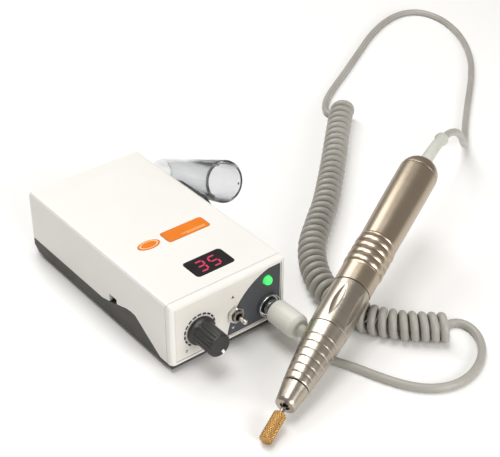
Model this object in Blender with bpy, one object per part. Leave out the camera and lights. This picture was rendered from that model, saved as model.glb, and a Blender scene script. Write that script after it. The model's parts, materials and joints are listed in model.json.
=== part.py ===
"""Electric nail drill: control unit, clear handpiece holder, handpiece and curly cord.

Run in Blender 4.5. Lengths are in metres, +Z is up and the control unit's front faces -Y.
"""
import math

import bmesh
import bpy
from mathutils import Matrix, Vector

MM = 0.001
GAP = 0.3 * MM                  # clearance between neighbouring pieces
RUNNING_FIT = 0.1 * MM          # radial clearance of a shaft that turns in a hole
THROUGH = 4.0 * MM              # how far a cutter runs past the face that it opens

# Control unit case
CASE_W = 70.0 * MM
CASE_D = 128.4 * MM
CASE_TOP = 38.5 * MM
CASE_EDGE_R = 2.2 * MM
REAR_EDGE_R = 1.2 * MM
WALL = 2.4 * MM
FOOT_R = 3.8 * MM
FOOT_H = 2.0 * MM
FOOT_IN = (5.5 * MM, 11.3 * MM, 7.5 * MM)   # in from the case's sides, front and rear
BEZEL_D = 3.8 * MM
BEZEL_RAIL = 2.7 * MM
BEZEL_SILL = 1.2 * MM
TRAY_FLOOR = 2.2 * MM
TRAY_EDGE = 1.2 * MM                   # height of the tray's edge at the front
TRAY_SIDE = 7.1 * MM                   # height of the tray's side along the rear half
TRAY_CREST = 14.1 * MM                 # height of the tray's side at its peak
TRAY_CHAMFER = (4.0 * MM, 3.2 * MM)
NOTCH = (3.45 * MM, 16.2 * MM, 50.1 * MM)   # half width, top and distance back from the front
SEAM_BACK = (60.2 * MM, 55.2 * MM, 37.7 * MM, 34.2 * MM, 30.2 * MM, 9.8 * MM)   # the seam's bends

# Case screws, from below into posts of the cover
SCREW_IN = (9.0 * MM, 20.2 * MM, 14.2 * MM)   # in from the case's sides, front and rear
SCREW_R = 1.3 * MM
SCREW_HEAD_R = 2.6 * MM
SCREW_HEAD_H = 1.6 * MM
SCREW_L = 9.5 * MM
POST_R = 3.2 * MM
BOSS_H = 6.2 * MM

# Display in the top
DISPLAY_W = 22.5 * MM
DISPLAY_D = 13.4 * MM
DISPLAY_AT = (1.6 * MM, 18.7 * MM)     # sideways, and back from the case's front
PANE_T = 1.3 * MM
PANE_R = 2.0 * MM
LEDGE = 1.8 * MM

# Badges in the top
BADGE_W = 25.4 * MM
BADGE_D = 9.2 * MM
BADGE_AT = (9.4 * MM, 48.9 * MM)
OVAL_HALF = (6.2 * MM, 3.3 * MM)
OVAL_AT = (-12.8 * MM, 49.0 * MM)
BADGE_T = 0.35 * MM
BADGE_PROUD = 0.12 * MM

# Driver board and what stands on it
BOARD_IN = (14.0 * MM, 34.2 * MM, 19.2 * MM)   # in from the case's sides, front and rear
BOARD_Z = 8.5 * MM
BOARD_T = 1.6 * MM
STANDOFF_IN = 3.0 * MM
STANDOFF_R = 1.8 * MM
CAPACITOR_R = 5.0 * MM
CAPACITOR_H = 18.0 * MM
CAPACITOR_AT = ((-12.0 * MM, 22.0 * MM), (-12.0 * MM, 8.0 * MM))
SINK_AT = (4.0 * MM, 0.0)
SINK_L = 26.0 * MM
SINK_H = 15.0 * MM
SINK_BASE = 2.4 * MM
FIN_COUNT = 5
FIN_PITCH = 3.6 * MM
FIN_T = 1.2 * MM
MODULE_DEPTH = 3.5 * MM                # how far the digit module hangs below the ceiling

# Rear panel: air slots, and the low-voltage inlet
REAR_PANEL_T = 2.0 * MM
REAR_PANEL_IN = 0.6 * MM
SLOT_X = (6.0 * MM, 24.0 * MM)
SLOT_LOW = 15.0 * MM
SLOT_H = 1.6 * MM
SLOT_PITCH = 3.6 * MM
SLOT_COUNT = 4
INLET_AT = (-17.0 * MM, 21.0 * MM)
INLET_R = 4.2 * MM
INLET_FLANGE_R = 5.6 * MM
INLET_PROUD = 1.4 * MM
INLET_L = 9.0 * MM
INLET_BORE_R = 2.8 * MM
INLET_PIN_R = 1.0 * MM

# Front panel and what is mounted on it: in from the nearer side, and up from the surface
PANEL_T = 2.4 * MM
PANEL_INSET = 0.3 * MM
INLAY_T = 0.9 * MM
INLAY_PROUD = 0.15 * MM
INLAY_EDGE = 0.4 * MM                  # panel left showing round the inlay
INLAY_CENTRE = (1.0 * MM, 1.0 * MM)    # of its curved side: in from the right side, and up
INLAY_OVER = 1.4 * MM                  # how far its full circle would stand above the panel
KNOB_AT = (CASE_W / -2 + 17.0 * MM, 18.3 * MM)
TOGGLE_AT = (CASE_W / 2 - 32.0 * MM, 17.6 * MM)
LED_AT = (CASE_W / 2 - 11.8 * MM, 28.8 * MM)
SOCKET_AT = (CASE_W / 2 - 11.5 * MM, 13.8 * MM)

KNOB_SKIRT_R = 7.8 * MM
KNOB_R = 6.2 * MM
KNOB_L = 16.0 * MM
KNOB_OFF = 0.5 * MM
POINTER_ANGLE = math.radians(-65.0)    # where the pointer stands at full speed
POINTER_W = 1.3 * MM
POT_SHAFT_R = 2.6 * MM
POT_BUSH_R = 3.5 * MM
POT_BODY_R = 8.0 * MM
NUT_H = 1.9 * MM
NUT_WALL = 1.6 * MM
TOGGLE_BUSH_R = 2.9 * MM
TOGGLE_BUSH_L = 3.6 * MM
TOGGLE_BODY = (8.0 * MM, 12.6 * MM, 9.0 * MM)
TOGGLE_L = 9.3 * MM
TOGGLE_PIVOT = 1.0 * MM
LED_R = 2.5 * MM
LED_L = 3.0 * MM

# Socket and plug of the handpiece cord
SOCKET_NECK_R = 4.6 * MM
SOCKET_BODY_R = 7.2 * MM
SOCKET_L = 13.0 * MM
RING_R = 6.5 * MM
RING_H = 2.1 * MM
PLUG_PIN_R = 3.0 * MM
PLUG_SHOULDER_R = 4.0 * MM
PLUG_SHOULDER_L = 4.1 * MM
PLUG_R = 6.4 * MM
PLUG_L = 15.8 * MM
PLUG_TAPER = (2.5 * MM, 4.8 * MM)      # length and end radius

# Clear holder on the right side: a tapered tube that slopes down to the rear
HOLDER_MOUTH = (12.6 * MM, 65.7 * MM, 44.0 * MM)   # out from the case's side, back from its front, up
HOLDER_SLOPE = math.radians(22.3)
HOLDER_TOE = math.radians(-2.0)
HOLDER_L = 66.0 * MM
HOLDER_R = (11.5 * MM, 8.6 * MM)       # at the mouth, at the rear end
HOLDER_WALL = 1.5 * MM
HOLDER_PLATE = 2.0 * MM
HOLDER_RIB = 1.0 * MM
HOLDER_PEG = (6.0 * MM, 1.9 * MM, 3.0 * MM)   # length, height and reach into the notch
PLATE_LOW = 10.6 * MM
PLATE_FRONT = (2.0 * MM, 21.0 * MM)    # beyond the notch, and up
PLATE_BACK = [(2.5, 37.5), (24.5, 36.5), (56.5, 26.0), (56.5, 14.0)]   # back from the mouth, and up
PLATE_BEND = 28.5 * MM                 # back from the mouth to where the lower edge starts to rise
WEB_BACK = (6.5 * MM, 54.5 * MM)       # back from the mouth
WEB_HALF = 1.6 * MM
WEB_DROP = 5.0 * MM
RIB_ANGLES = (25, 145, 265)
RIB_W = 1.2 * MM
RIB_SPAN = (1.0 * MM, 15.0 * MM)

# Handpiece: distances run along its axis from the tip of the nose to the rear
HAND_L = 170.0 * MM
NOSE_L = 11.4 * MM
CONE_END = 45.7 * MM
SLEEVE_END = 73.8 * MM
RIBS_AT = 87.0 * MM
RIB_PITCH = 4.6 * MM
RIB_COUNT = 4
RIB_H = 0.45 * MM
DOME_L = 9.0 * MM
NOSE_R = 5.0 * MM
CONE_R = 6.7 * MM
GRIP_R = 9.9 * MM
BODY_R = 10.0 * MM
REAR_R = 10.75 * MM
SHELL_T = 1.3 * MM
SHANK_R = 1.175 * MM
COLLET_R = 2.2 * MM
SPINDLE_R = 2.9 * MM
BURR_R = 3.2 * MM
BURR_L = 15.4 * MM
BURR_OFF = 4.6 * MM                    # bare shank between the nose and the burr
MOTOR_R = 8.3 * MM
ROTOR_R = 5.4 * MM
MOTOR_SHAFT_R = 1.5 * MM
BEARING_R = 4.9 * MM
BEARING_L = 4.0 * MM
REAR_BEARING_AT = 52.0 * MM
SHANK_END = 26.0 * MM
SHANK_IN = 4.0 * MM                    # how deep the shank is brazed into the burr
COLLET_SPAN = (0.8 * MM, 22.0 * MM)
SPINDLE_SPAN = (3.6 * MM, 62.0 * MM)
COUPLING_R = 4.2 * MM
COUPLING_L = 7.0 * MM
ROTOR_SPAN = (88.0 * MM, 132.0 * MM)
MOTOR_SPAN = (80.0 * MM, 140.0 * MM)
MOTOR_WALL = 0.9 * MM

# How the handpiece lies: burr down, resting on the curly cord
BURR_END_AT = (-66.2 * MM, -65.4 * MM)      # from the case's front right corner
HAND_HEADING = math.radians(23.7)
HAND_REST = 79.5 * MM

# Cord
CORD_R = 2.1 * MM
COIL_R = 7.75 * MM
BOOT_L = 31.0 * MM
BOOT_R = (3.5 * MM, 2.9 * MM)
BOOT_DROOP = 5.0 * MM
COLLAR_R = 3.8 * MM
CORD_STEP = 10.0 * MM
CORNER_LAID = (35.0, -64.2)            # the case's front right corner when the cord was laid out

COIL_ROUTE = [
    (196.0, 70.0), (189.0, 64.2), (169.4, 45.8), (149.6, 26.8), (130.3, 8.8), (112.5, -7.1),
    (96.9, -19.3), (82.5, -31.0), (73.0, -41.5), (64.5, -54.5), (58.8, -69.0), (57.3, -84.0),
    (60.3, -97.8), (67.0, -109.3), (75.0, -118.0), (84.0, -126.0),
]
HAND_LEAD_ROUTE = [
    (176.5, -38.4, 45.8), (188.5, -33.0, 39.6), (200.0, -27.0, 30.0), (211.0, -19.8, 19.0),
    (223.0, -11.0, 9.3), (236.0, 0.0, 3.6), (250.0, 12.5, 2.1), (269.0, 28.5, 2.1),
    (288.0, 44.0, 2.1), (307.0, 60.0, 2.1), (324.5, 77.0, 2.1), (339.5, 96.0, 2.1),
    (351.0, 116.5, 2.1), (357.0, 138.0, 2.1), (354.0, 155.0, 2.1), (342.0, 162.5, 2.1),
    (323.0, 160.5, 2.1), (297.5, 150.0, 2.1), (268.6, 133.3, 2.1), (241.0, 116.9, 2.1),
    (217.0, 103.0, 2.1), (203.0, 93.5, 2.1), (195.2, 85.5, 2.1), (192.4, 78.0, 2.1),
]
PLUG_LEAD_ROUTE = [
    (90.3, -122.8, 2.1), (95.0, -121.8, 2.1), (99.3, -124.8, 2.1), (100.6, -130.8, 2.1),
    (98.0, -138.6, 2.1), (91.8, -146.2, 2.1), (83.0, -152.0, 2.1), (72.6, -155.2, 2.1),
    (62.0, -154.6, 2.1), (52.6, -149.8, 2.1), (45.2, -141.2, 2.1), (39.4, -129.2, 2.1),
    (34.8, -117.0, 2.1), (30.8, -108.4, 2.1), (27.8, -102.6, 2.6),
]
PLUG_BOOT_ROUTE = [
    (0.0, 0.0, 0.0), (0.0, -1.0, 0.0), (0.1, -2.4, -0.9), (0.3, -3.7, -2.6), (0.6, -4.9, -4.6),
    (1.1, -6.0, -6.9),
]
PLUG_BOOT_R = (2.9 * MM, 2.4 * MM)

FINISHES = {                            # colour, roughness, metallic
    "white_shell": ((0.87, 0.85, 0.80), 0.35, 0.0),
    "panel_white": ((0.80, 0.78, 0.72), 0.45, 0.0),
    "dark_shell": ((0.060, 0.056, 0.046), 0.55, 0.0),
    "inlay_grey": ((0.075, 0.080, 0.085), 0.45, 0.0),
    "black_plastic": ((0.030, 0.030, 0.028), 0.40, 0.0),
    "rubber": ((0.020, 0.020, 0.020), 0.85, 0.0),
    "display_black": ((0.010, 0.010, 0.012), 0.12, 0.0),
    "badge_orange": ((0.90, 0.22, 0.015), 0.40, 0.0),
    "white_mark": ((0.90, 0.90, 0.88), 0.45, 0.0),
    "led_green": ((0.07, 0.83, 0.13), 0.20, 0.0),
    "chrome": ((0.80, 0.80, 0.80), 0.15, 1.0),
    "steel": ((0.55, 0.55, 0.55), 0.30, 1.0),
    "champagne": ((0.60, 0.51, 0.40), 0.30, 1.0),
    "brass_gold": ((0.62, 0.38, 0.14), 0.35, 1.0),
    "copper": ((0.60, 0.27, 0.12), 0.40, 1.0),
    "board_green": ((0.03, 0.16, 0.07), 0.55, 0.0),
    "clear_plastic": ((0.86, 0.88, 0.90), 0.08, 0.0),
    "plug_ivory": ((0.72, 0.71, 0.65), 0.45, 0.0),
    "cord_grey": ((0.33, 0.31, 0.28), 0.50, 0.0),
}

FRONT_Y = -CASE_D / 2
REAR_Y = CASE_D / 2
SIDE_X = CASE_W / 2
UNDERSIDE = FOOT_H + GAP
COVER_FRONT_Y = FRONT_Y + BEZEL_D + GAP
CEILING = CASE_TOP - WALL
PANEL_Y = FRONT_Y + PANEL_INSET
PANEL_BACK = -PANEL_T - GAP             # where bodies behind the panel start, along its normal
BOARD_HALF = SIDE_X - BOARD_IN[0]
BOARD_Y = (FRONT_Y + BOARD_IN[1], REAR_Y - BOARD_IN[2])


# ---------------------------------------------------------------- modelling helpers

def finish(name):
    """The named finish as a material, made once."""
    material = bpy.data.materials.get(name)
    if material is None:
        colour, roughness, metallic = FINISHES[name]
        material = bpy.data.materials.new(name)
        material.use_nodes = True
        shader = material.node_tree.nodes["Principled BSDF"]
        shader.inputs["Base Color"].default_value = (*colour, 1.0)
        shader.inputs["Roughness"].default_value = roughness
        shader.inputs["Metallic"].default_value = metallic
    return material


def frame(name, parent=None, at=(0, 0, 0), turn=None):
    """An empty that carries pieces: a place, a direction or a joint axis."""
    empty = bpy.data.objects.new(name, None)
    bpy.context.collection.objects.link(empty)
    empty.parent = parent
    empty.matrix_local = Matrix.LocRotScale(Vector(at), turn, None)
    return empty


def add(name, bm, parent, finish_name=None):
    """Turn a bmesh into an object under a frame."""
    bmesh.ops.recalc_face_normals(bm, faces=bm.faces)
    mesh = bpy.data.meshes.new(name)
    bm.to_mesh(mesh)
    bm.free()
    mesh.shade_smooth()
    mesh.set_sharp_from_angle(angle=math.radians(35))
    piece = bpy.data.objects.new(name, mesh)
    bpy.context.collection.objects.link(piece)
    piece.parent = parent
    if finish_name:
        mesh.materials.append(finish(finish_name))
    return piece


def combine(piece, bm, operation):
    """Cut a shape out of a piece, or fuse one onto it."""
    count = len(piece.modifiers)
    tool = add(f"{piece.name}_{operation.lower()}_{count}", bm, piece.parent)
    tool.display_type = "WIRE"
    tool.hide_render = True
    boolean = piece.modifiers.new(tool.name, "BOOLEAN")
    boolean.operation = operation
    boolean.solver = "EXACT"
    boolean.object = tool


def cut(piece, *shapes):
    for bm in shapes:
        combine(piece, bm, "DIFFERENCE")


def fuse(piece, *shapes):
    for bm in shapes:
        combine(piece, bm, "UNION")


def group(shapes):
    """Several separate shapes in one bmesh, to cut with together."""
    whole_bm = bmesh.new()
    for bm in shapes:
        bmesh.ops.recalc_face_normals(bm, faces=bm.faces)
        mesh = bpy.data.meshes.new("part_of_group")
        bm.to_mesh(mesh)
        bm.free()
        whole_bm.from_mesh(mesh)
        bpy.data.meshes.remove(mesh)
    return whole_bm


def block(low, high):
    """A box between two corners."""
    bm = bmesh.new()
    bmesh.ops.create_cube(bm, size=1.0)
    for vert in bm.verts:
        vert.co = Vector([high[i] if vert.co[i] > 0 else low[i] for i in range(3)])
    return bm


def prism(outline, low, high, axis):
    """A flat outline pushed along an axis. The outline holds the other two coordinates in order."""
    bm = bmesh.new()
    rings = []
    for level in (low, high):
        ring = []
        for a, b in outline:
            place = {"X": (level, a, b), "Y": (a, level, b), "Z": (a, b, level)}[axis]
            ring.append(bm.verts.new(place))
        rings.append(ring)
    count = len(outline)
    bm.faces.new(rings[0])
    bm.faces.new(reversed(rings[1]))
    for i in range(count):
        j = (i + 1) % count
        bm.faces.new((rings[0][i], rings[0][j], rings[1][j], rings[1][i]))
    return bm


def rounded(bm, radius, pick, segments=3):
    """Round the edges that pick(a, b) chooses from the edge's two end points."""
    edges = [edge for edge in bm.edges if pick(edge.verts[0].co, edge.verts[1].co)]
    bmesh.ops.bevel(bm, geom=edges, offset=radius, segments=segments, profile=0.5, affect="EDGES")
    return bm


def rounded_outline(half_w, half_d, radius, centre, steps=4):
    """A rectangle with round corners, as a list of points."""
    points = []
    for quarter, (sx, sy) in enumerate(((1, 1), (-1, 1), (-1, -1), (1, -1))):
        for step in range(steps + 1):
            angle = math.radians(90 * (quarter + step / steps))
            points.append((centre[0] + sx * (half_w - radius) + radius * math.cos(angle),
                           centre[1] + sy * (half_d - radius) + radius * math.sin(angle)))
    return points


def circle(radius, centre=(0, 0), steps=16, start=0.0):
    return [(centre[0] + radius * math.cos(start + 2 * math.pi * i / steps),
             centre[1] + radius * math.sin(start + 2 * math.pi * i / steps)) for i in range(steps)]


def turned(outline, steps=24, closed=False):
    """A lathe shape about +Z from (radius, height) points, from axis to axis or closed as a ring."""
    bm = bmesh.new()
    verts = [bm.verts.new((radius, 0, height)) for radius, height in outline]
    if closed:
        verts.append(verts[0])
    edges = [bm.edges.new(pair) for pair in zip(verts, verts[1:])]
    geometry = list(dict.fromkeys(verts)) + edges
    bmesh.ops.spin(bm, geom=geometry, axis=(0, 0, 1), cent=(0, 0, 0),
                   angle=2 * math.pi, steps=steps, use_merge=True, use_duplicate=False)
    bmesh.ops.remove_doubles(bm, verts=bm.verts, dist=1e-7)
    return bm


def tube(outer, inner, low, high, steps=20):
    return turned([(inner, low), (outer, low), (outer, high), (inner, high)], steps, closed=True)


def rod(radius, low, high, steps=20):
    return turned([(0, low), (radius, low), (radius, high), (0, high)], steps)


def swept(path, radii, sides=16):
    """A round tube with closed ends through the points of a path, with a radius at each."""
    bm = bmesh.new()
    rings = []
    across = None
    for i, point in enumerate(path):
        ahead = path[min(i + 1, len(path) - 1)]
        behind = path[max(i - 1, 0)]
        along = (ahead - behind).normalized()
        if across is None:
            across = along.orthogonal().normalized()
        across = (across - along * across.dot(along)).normalized()
        other = along.cross(across)
        rings.append([bm.verts.new(point + radii[i] * (math.cos(t) * across + math.sin(t) * other))
                      for t in (2 * math.pi * k / sides for k in range(sides))])
    for ring, following in zip(rings, rings[1:]):
        for k in range(sides):
            m = (k + 1) % sides
            bm.faces.new((ring[k], ring[m], following[m], following[k]))
    bm.faces.new(rings[0])
    bm.faces.new(rings[-1])
    return bm


def smooth_points(route, step):
    """Points at an even spacing on a smooth curve through a route's own points."""
    fine = []
    last = len(route) - 1
    for i in range(last):
        p0, p1, p2, p3 = (route[max(i - 1, 0)], route[i], route[i + 1], route[min(i + 2, last)])
        for k in range(12):
            t = k / 12
            fine.append(0.5 * ((2 * p1) + (p2 - p0) * t + (2 * p0 - 5 * p1 + 4 * p2 - p3) * t ** 2
                               + (3 * p1 - p0 - 3 * p2 + p3) * t ** 3))
    fine.append(route[-1])
    travelled = [0.0]
    for a, b in zip(fine, fine[1:]):
        travelled.append(travelled[-1] + (b - a).length)
    count = max(2, round(travelled[-1] / step))
    points = [fine[0]]
    segment = 0
    for k in range(1, count):
        target = travelled[-1] * k / count
        while travelled[segment + 1] < target:
            segment += 1
        part = (target - travelled[segment]) / (travelled[segment + 1] - travelled[segment])
        points.append(fine[segment].lerp(fine[segment + 1], part))
    points.append(fine[-1])
    return points


def cable(name, points, radius, parent, finish_name, resolution):
    """A round cable as a bevelled curve with filled ends."""
    curve = bpy.data.curves.new(name, "CURVE")
    curve.dimensions = "3D"
    curve.bevel_depth = radius
    curve.bevel_resolution = resolution
    curve.use_fill_caps = True
    spline = curve.splines.new("POLY")
    spline.points.add(len(points) - 1)
    for place, point in zip(spline.points, points):
        place.co = (*point, 1.0)
    curve.materials.append(finish(finish_name))
    piece = bpy.data.objects.new(name, curve)
    bpy.context.collection.objects.link(piece)
    piece.parent = parent
    return piece


# ---------------------------------------------------------------- control unit: case

def side_seam(rise):
    """The line between cover and tray, seen from the side, from the rear forwards."""
    side = UNDERSIDE + TRAY_SIDE + rise
    crest = UNDERSIDE + TRAY_CREST + rise
    edge = UNDERSIDE + TRAY_EDGE + rise
    heights = (side, side + 1.2 * MM, crest - 0.5 * MM, crest, crest - 0.2 * MM, edge)
    return [(FRONT_Y + back, height) for back, height in zip(SEAM_BACK, heights)]


def top_edge(a, b):
    return min(a.z, b.z) > CASE_TOP - 1e-6 and abs(a.y - b.y) > 1e-4


def screw_places():
    sideways, front, rear = SCREW_IN
    return [(side * (SIDE_X - sideways), y) for y in (FRONT_Y + front, REAR_Y - rear)
            for side in (-1, 1)]


def make_cover(whole):
    """The white upper shell: a channel that is open at both ends and below."""
    lower = side_seam(GAP)
    outline = [(REAR_Y, lower[0][1])] + lower + [(COVER_FRONT_Y, lower[-1][1]),
                                                (COVER_FRONT_Y, CASE_TOP), (REAR_Y, CASE_TOP)]
    shell = prism(outline, -SIDE_X, SIDE_X, "X")
    rounded(shell, CASE_EDGE_R, top_edge)
    rounded(shell, REAR_EDGE_R, lambda a, b: min(a.y, b.y) > REAR_Y - 1e-6
            and abs(abs(a.x) - SIDE_X) < 1e-6 and abs(a.x - b.x) < 1e-6, segments=2)
    cover = add("upper_cover", shell, whole, "white_shell")
    cut(cover, block((-SIDE_X + WALL, FRONT_Y - THROUGH, -THROUGH),
                     (SIDE_X - WALL, REAR_Y + THROUGH, CEILING)))

    posts = [prism(circle(POST_R, place, 16), UNDERSIDE + BOSS_H + GAP, CEILING + WALL / 2, "Z")
             for place in screw_places()]
    fuse(cover, group(posts))
    pilots = [prism(circle(SCREW_R + GAP, place, 12), 0, UNDERSIDE + SCREW_L + 2 * MM, "Z")
              for place in screw_places()]
    cut(cover, group(pilots))

    x, y = DISPLAY_AT[0], FRONT_Y + DISPLAY_AT[1]
    seat = rounded_outline(DISPLAY_W / 2 + GAP, DISPLAY_D / 2 + GAP, PANE_R, (x, y))
    cut(cover, prism(seat, CASE_TOP - PANE_T - GAP, CASE_TOP + THROUGH, "Z"))
    cut(cover, block((x - DISPLAY_W / 2 + LEDGE, y - DISPLAY_D / 2 + LEDGE, CEILING - THROUGH),
                     (x + DISPLAY_W / 2 - LEDGE, y + DISPLAY_D / 2 - LEDGE, CASE_TOP + THROUGH)))

    floor = CASE_TOP + BADGE_PROUD - BADGE_T - GAP
    recesses = [prism(badge_outline(GAP), floor, CASE_TOP + THROUGH, "Z"),
                prism(oval_outline(GAP), floor, CASE_TOP + THROUGH, "Z")]
    cut(cover, group(recesses))

    half, top, back = NOTCH
    low = UNDERSIDE + TRAY_SIDE
    cut(cover, block((-SIDE_X - THROUGH, FRONT_Y + back - half, low),
                     (SIDE_X + THROUGH, FRONT_Y + back + half, top)))


def badge_outline(grow):
    centre = (BADGE_AT[0], FRONT_Y + BADGE_AT[1])
    return rounded_outline(BADGE_W / 2 + grow, BADGE_D / 2 + grow, 1.2 * MM + grow, centre, steps=2)


def oval_outline(grow):
    """The oval badge's edge: a circle stretched to its two half widths."""
    across, deep = (half + grow for half in OVAL_HALF)
    return [(OVAL_AT[0] + across * x, FRONT_Y + OVAL_AT[1] + deep * y) for x, y in circle(1.0, steps=24)]


def make_tray(whole):
    """The dark tray: floor, sides that follow the seam, bosses and board standoffs."""
    seam = side_seam(0.0)
    outline = [(FRONT_Y, UNDERSIDE), (REAR_Y - TRAY_CHAMFER[0], UNDERSIDE),
               (REAR_Y, UNDERSIDE + TRAY_CHAMFER[1]), (REAR_Y, seam[0][1])]
    outline += seam + [(FRONT_Y, seam[-1][1])]
    tray = add("base_tray", prism(outline, -SIDE_X, SIDE_X, "X"), whole, "dark_shell")
    floor = UNDERSIDE + TRAY_FLOOR
    cut(tray, block((-SIDE_X + WALL, seam[-1][0] + WALL, floor),
                    (SIDE_X - WALL, REAR_Y - WALL, CASE_TOP)))
    pillars = [prism(circle(POST_R, place, 16), floor - WALL / 2, UNDERSIDE + BOSS_H, "Z")
               for place in screw_places()]
    pillars += [prism(circle(STANDOFF_R, place, 10), floor - WALL / 2, BOARD_Z - GAP, "Z")
                for place in board_corners()]
    fuse(tray, group(pillars))
    seat = UNDERSIDE + SCREW_HEAD_H + 2 * GAP
    heads = [prism(circle(SCREW_HEAD_R + GAP, place), -THROUGH, seat, "Z")
             for place in screw_places()]
    cut(tray, group(heads))
    holes = [prism(circle(SCREW_R + GAP, place, 12), -THROUGH, UNDERSIDE + BOSS_H + THROUGH, "Z")
             for place in screw_places()]
    cut(tray, group(holes))


def make_bezel(whole):
    """The white frame that closes the front edge and holds the panel."""
    low = UNDERSIDE + TRAY_EDGE + GAP
    body = block((-SIDE_X, FRONT_Y, low), (SIDE_X, FRONT_Y + BEZEL_D, CASE_TOP))

    def front_or_top(a, b):
        top = min(a.z, b.z) > CASE_TOP - 1e-6 and (abs(a.y - b.y) > 1e-4 or a.y < FRONT_Y + 1e-6)
        corner = abs(a.z - b.z) > 1e-4 and max(a.y, b.y) < FRONT_Y + 1e-6
        return top or corner

    rounded(body, CASE_EDGE_R, front_or_top)
    bezel = add("front_bezel", body, whole, "white_shell")
    cut(bezel, block((-SIDE_X + BEZEL_RAIL, FRONT_Y - THROUGH, low + BEZEL_SILL),
                     (SIDE_X - BEZEL_RAIL, FRONT_Y + BEZEL_D + THROUGH, CEILING)))


def make_feet_and_screws(whole):
    sideways, front, rear = FOOT_IN
    for row, y in (("front", FRONT_Y + front), ("rear", REAR_Y - rear)):
        for side, x in (("left", sideways - SIDE_X), ("right", SIDE_X - sideways)):
            place = frame(f"{row}_{side}_foot_place", whole, (x, y, 0))
            foot = turned([(0, 0), (FOOT_R - 0.4 * MM, 0), (FOOT_R, 0.4 * MM), (FOOT_R, FOOT_H),
                           (0, FOOT_H)], 16)
            add(f"foot_{row}_{side}", foot, place, "rubber")
    for i, (x, y) in enumerate(screw_places()):
        place = frame(f"case_screw_place_{i + 1}", whole, (x, y, UNDERSIDE + GAP))
        screw = turned([(0, 0), (SCREW_HEAD_R, 0), (SCREW_HEAD_R, SCREW_HEAD_H),
                        (SCREW_R, SCREW_HEAD_H), (SCREW_R, SCREW_L), (0, SCREW_L)], 12)
        add(f"case_screw_{i + 1}", screw, place, "steel")


def make_display_and_badges(whole):
    """The dark pane and the red digit module under it, and the two badges."""
    x, y = DISPLAY_AT[0], FRONT_Y + DISPLAY_AT[1]
    pane = rounded_outline(DISPLAY_W / 2, DISPLAY_D / 2, PANE_R, (x, y))
    add("display_window", prism(pane, CASE_TOP - PANE_T, CASE_TOP, "Z"), whole, "display_black")
    half_w = DISPLAY_W / 2 - LEDGE - GAP
    half_d = DISPLAY_D / 2 - LEDGE - GAP
    top = CASE_TOP - PANE_T - GAP
    bottom = CEILING - MODULE_DEPTH
    module = block((x - half_w, y - half_d, bottom), (x + half_w, y + half_d, top))
    add("display_module", module, whole, "black_plastic")
    carrier = block((x - DISPLAY_W / 2, y - DISPLAY_D / 2, bottom - GAP - BOARD_T),
                    (x + DISPLAY_W / 2, y + DISPLAY_D / 2, bottom - GAP))
    add("display_board", carrier, whole, "board_green")
    low = CASE_TOP + BADGE_PROUD - BADGE_T
    high = CASE_TOP + BADGE_PROUD
    add("badge_bar", prism(badge_outline(0.0), low, high, "Z"), whole, "badge_orange")
    add("badge_oval", prism(oval_outline(0.0), low, high, "Z"), whole, "badge_orange")


# ---------------------------------------------------------------- control unit: inside

def board_corners():
    return [(side * (BOARD_HALF - STANDOFF_IN), y) for side in (-1, 1)
            for y in (BOARD_Y[0] + STANDOFF_IN, BOARD_Y[1] - STANDOFF_IN)]


def make_electronics(whole):
    """The driver board with its capacitors and heat sink."""
    board = block((-BOARD_HALF, BOARD_Y[0], BOARD_Z), (BOARD_HALF, BOARD_Y[1], BOARD_Z + BOARD_T))
    add("main_board", board, whole, "board_green")
    standing = BOARD_Z + BOARD_T + GAP
    bevel = 0.6 * MM
    for i, at in enumerate(CAPACITOR_AT):
        place = frame(f"capacitor_place_{i + 1}", whole, (*at, standing))
        can = turned([(0, 0), (CAPACITOR_R, 0), (CAPACITOR_R, CAPACITOR_H - bevel),
                      (CAPACITOR_R - bevel, CAPACITOR_H), (0, CAPACITOR_H)], 16)
        add(f"capacitor_{i + 1}", can, place, "inlay_grey")
    outline = [(SINK_AT[0], standing)]
    for i in range(FIN_COUNT):
        left = SINK_AT[0] + i * FIN_PITCH
        outline += [(left, standing + SINK_H), (left + FIN_T, standing + SINK_H)]
        if i < FIN_COUNT - 1:
            outline += [(left + FIN_T, standing + SINK_BASE), (left + FIN_PITCH, standing + SINK_BASE)]
    outline.append((SINK_AT[0] + (FIN_COUNT - 1) * FIN_PITCH + FIN_T, standing))
    add("heat_sink", prism(outline, SINK_AT[1], SINK_AT[1] + SINK_L, "Y"), whole, "steel")


# ---------------------------------------------------------------- front and rear panels

def panel_edges():
    """Left, right, bottom and top of the front panel, inside the bezel."""
    half = SIDE_X - BEZEL_RAIL - GAP
    return -half, half, UNDERSIDE + TRAY_EDGE + BEZEL_SILL + 2 * GAP, CEILING - GAP


def inlay_outline(grow):
    """The dark inlay: a quarter disc that runs off the panel's right and lower edges."""
    _, right, bottom, top = panel_edges()
    inset = GAP + INLAY_EDGE
    radius = top - inset - INLAY_CENTRE[1] + INLAY_OVER + grow
    inset -= grow
    start = math.asin((top - inset - INLAY_CENTRE[1]) / radius)
    stop = math.asin((bottom + inset - INLAY_CENTRE[1]) / radius)
    steps = 14
    points = [(right - inset, bottom + inset), (right - inset, top - inset)]
    for i in range(steps + 1):
        angle = start + (stop - start) * i / steps
        points.append((SIDE_X - INLAY_CENTRE[0] - radius * math.cos(angle),
                       INLAY_CENTRE[1] + radius * math.sin(angle)))
    return points


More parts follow.
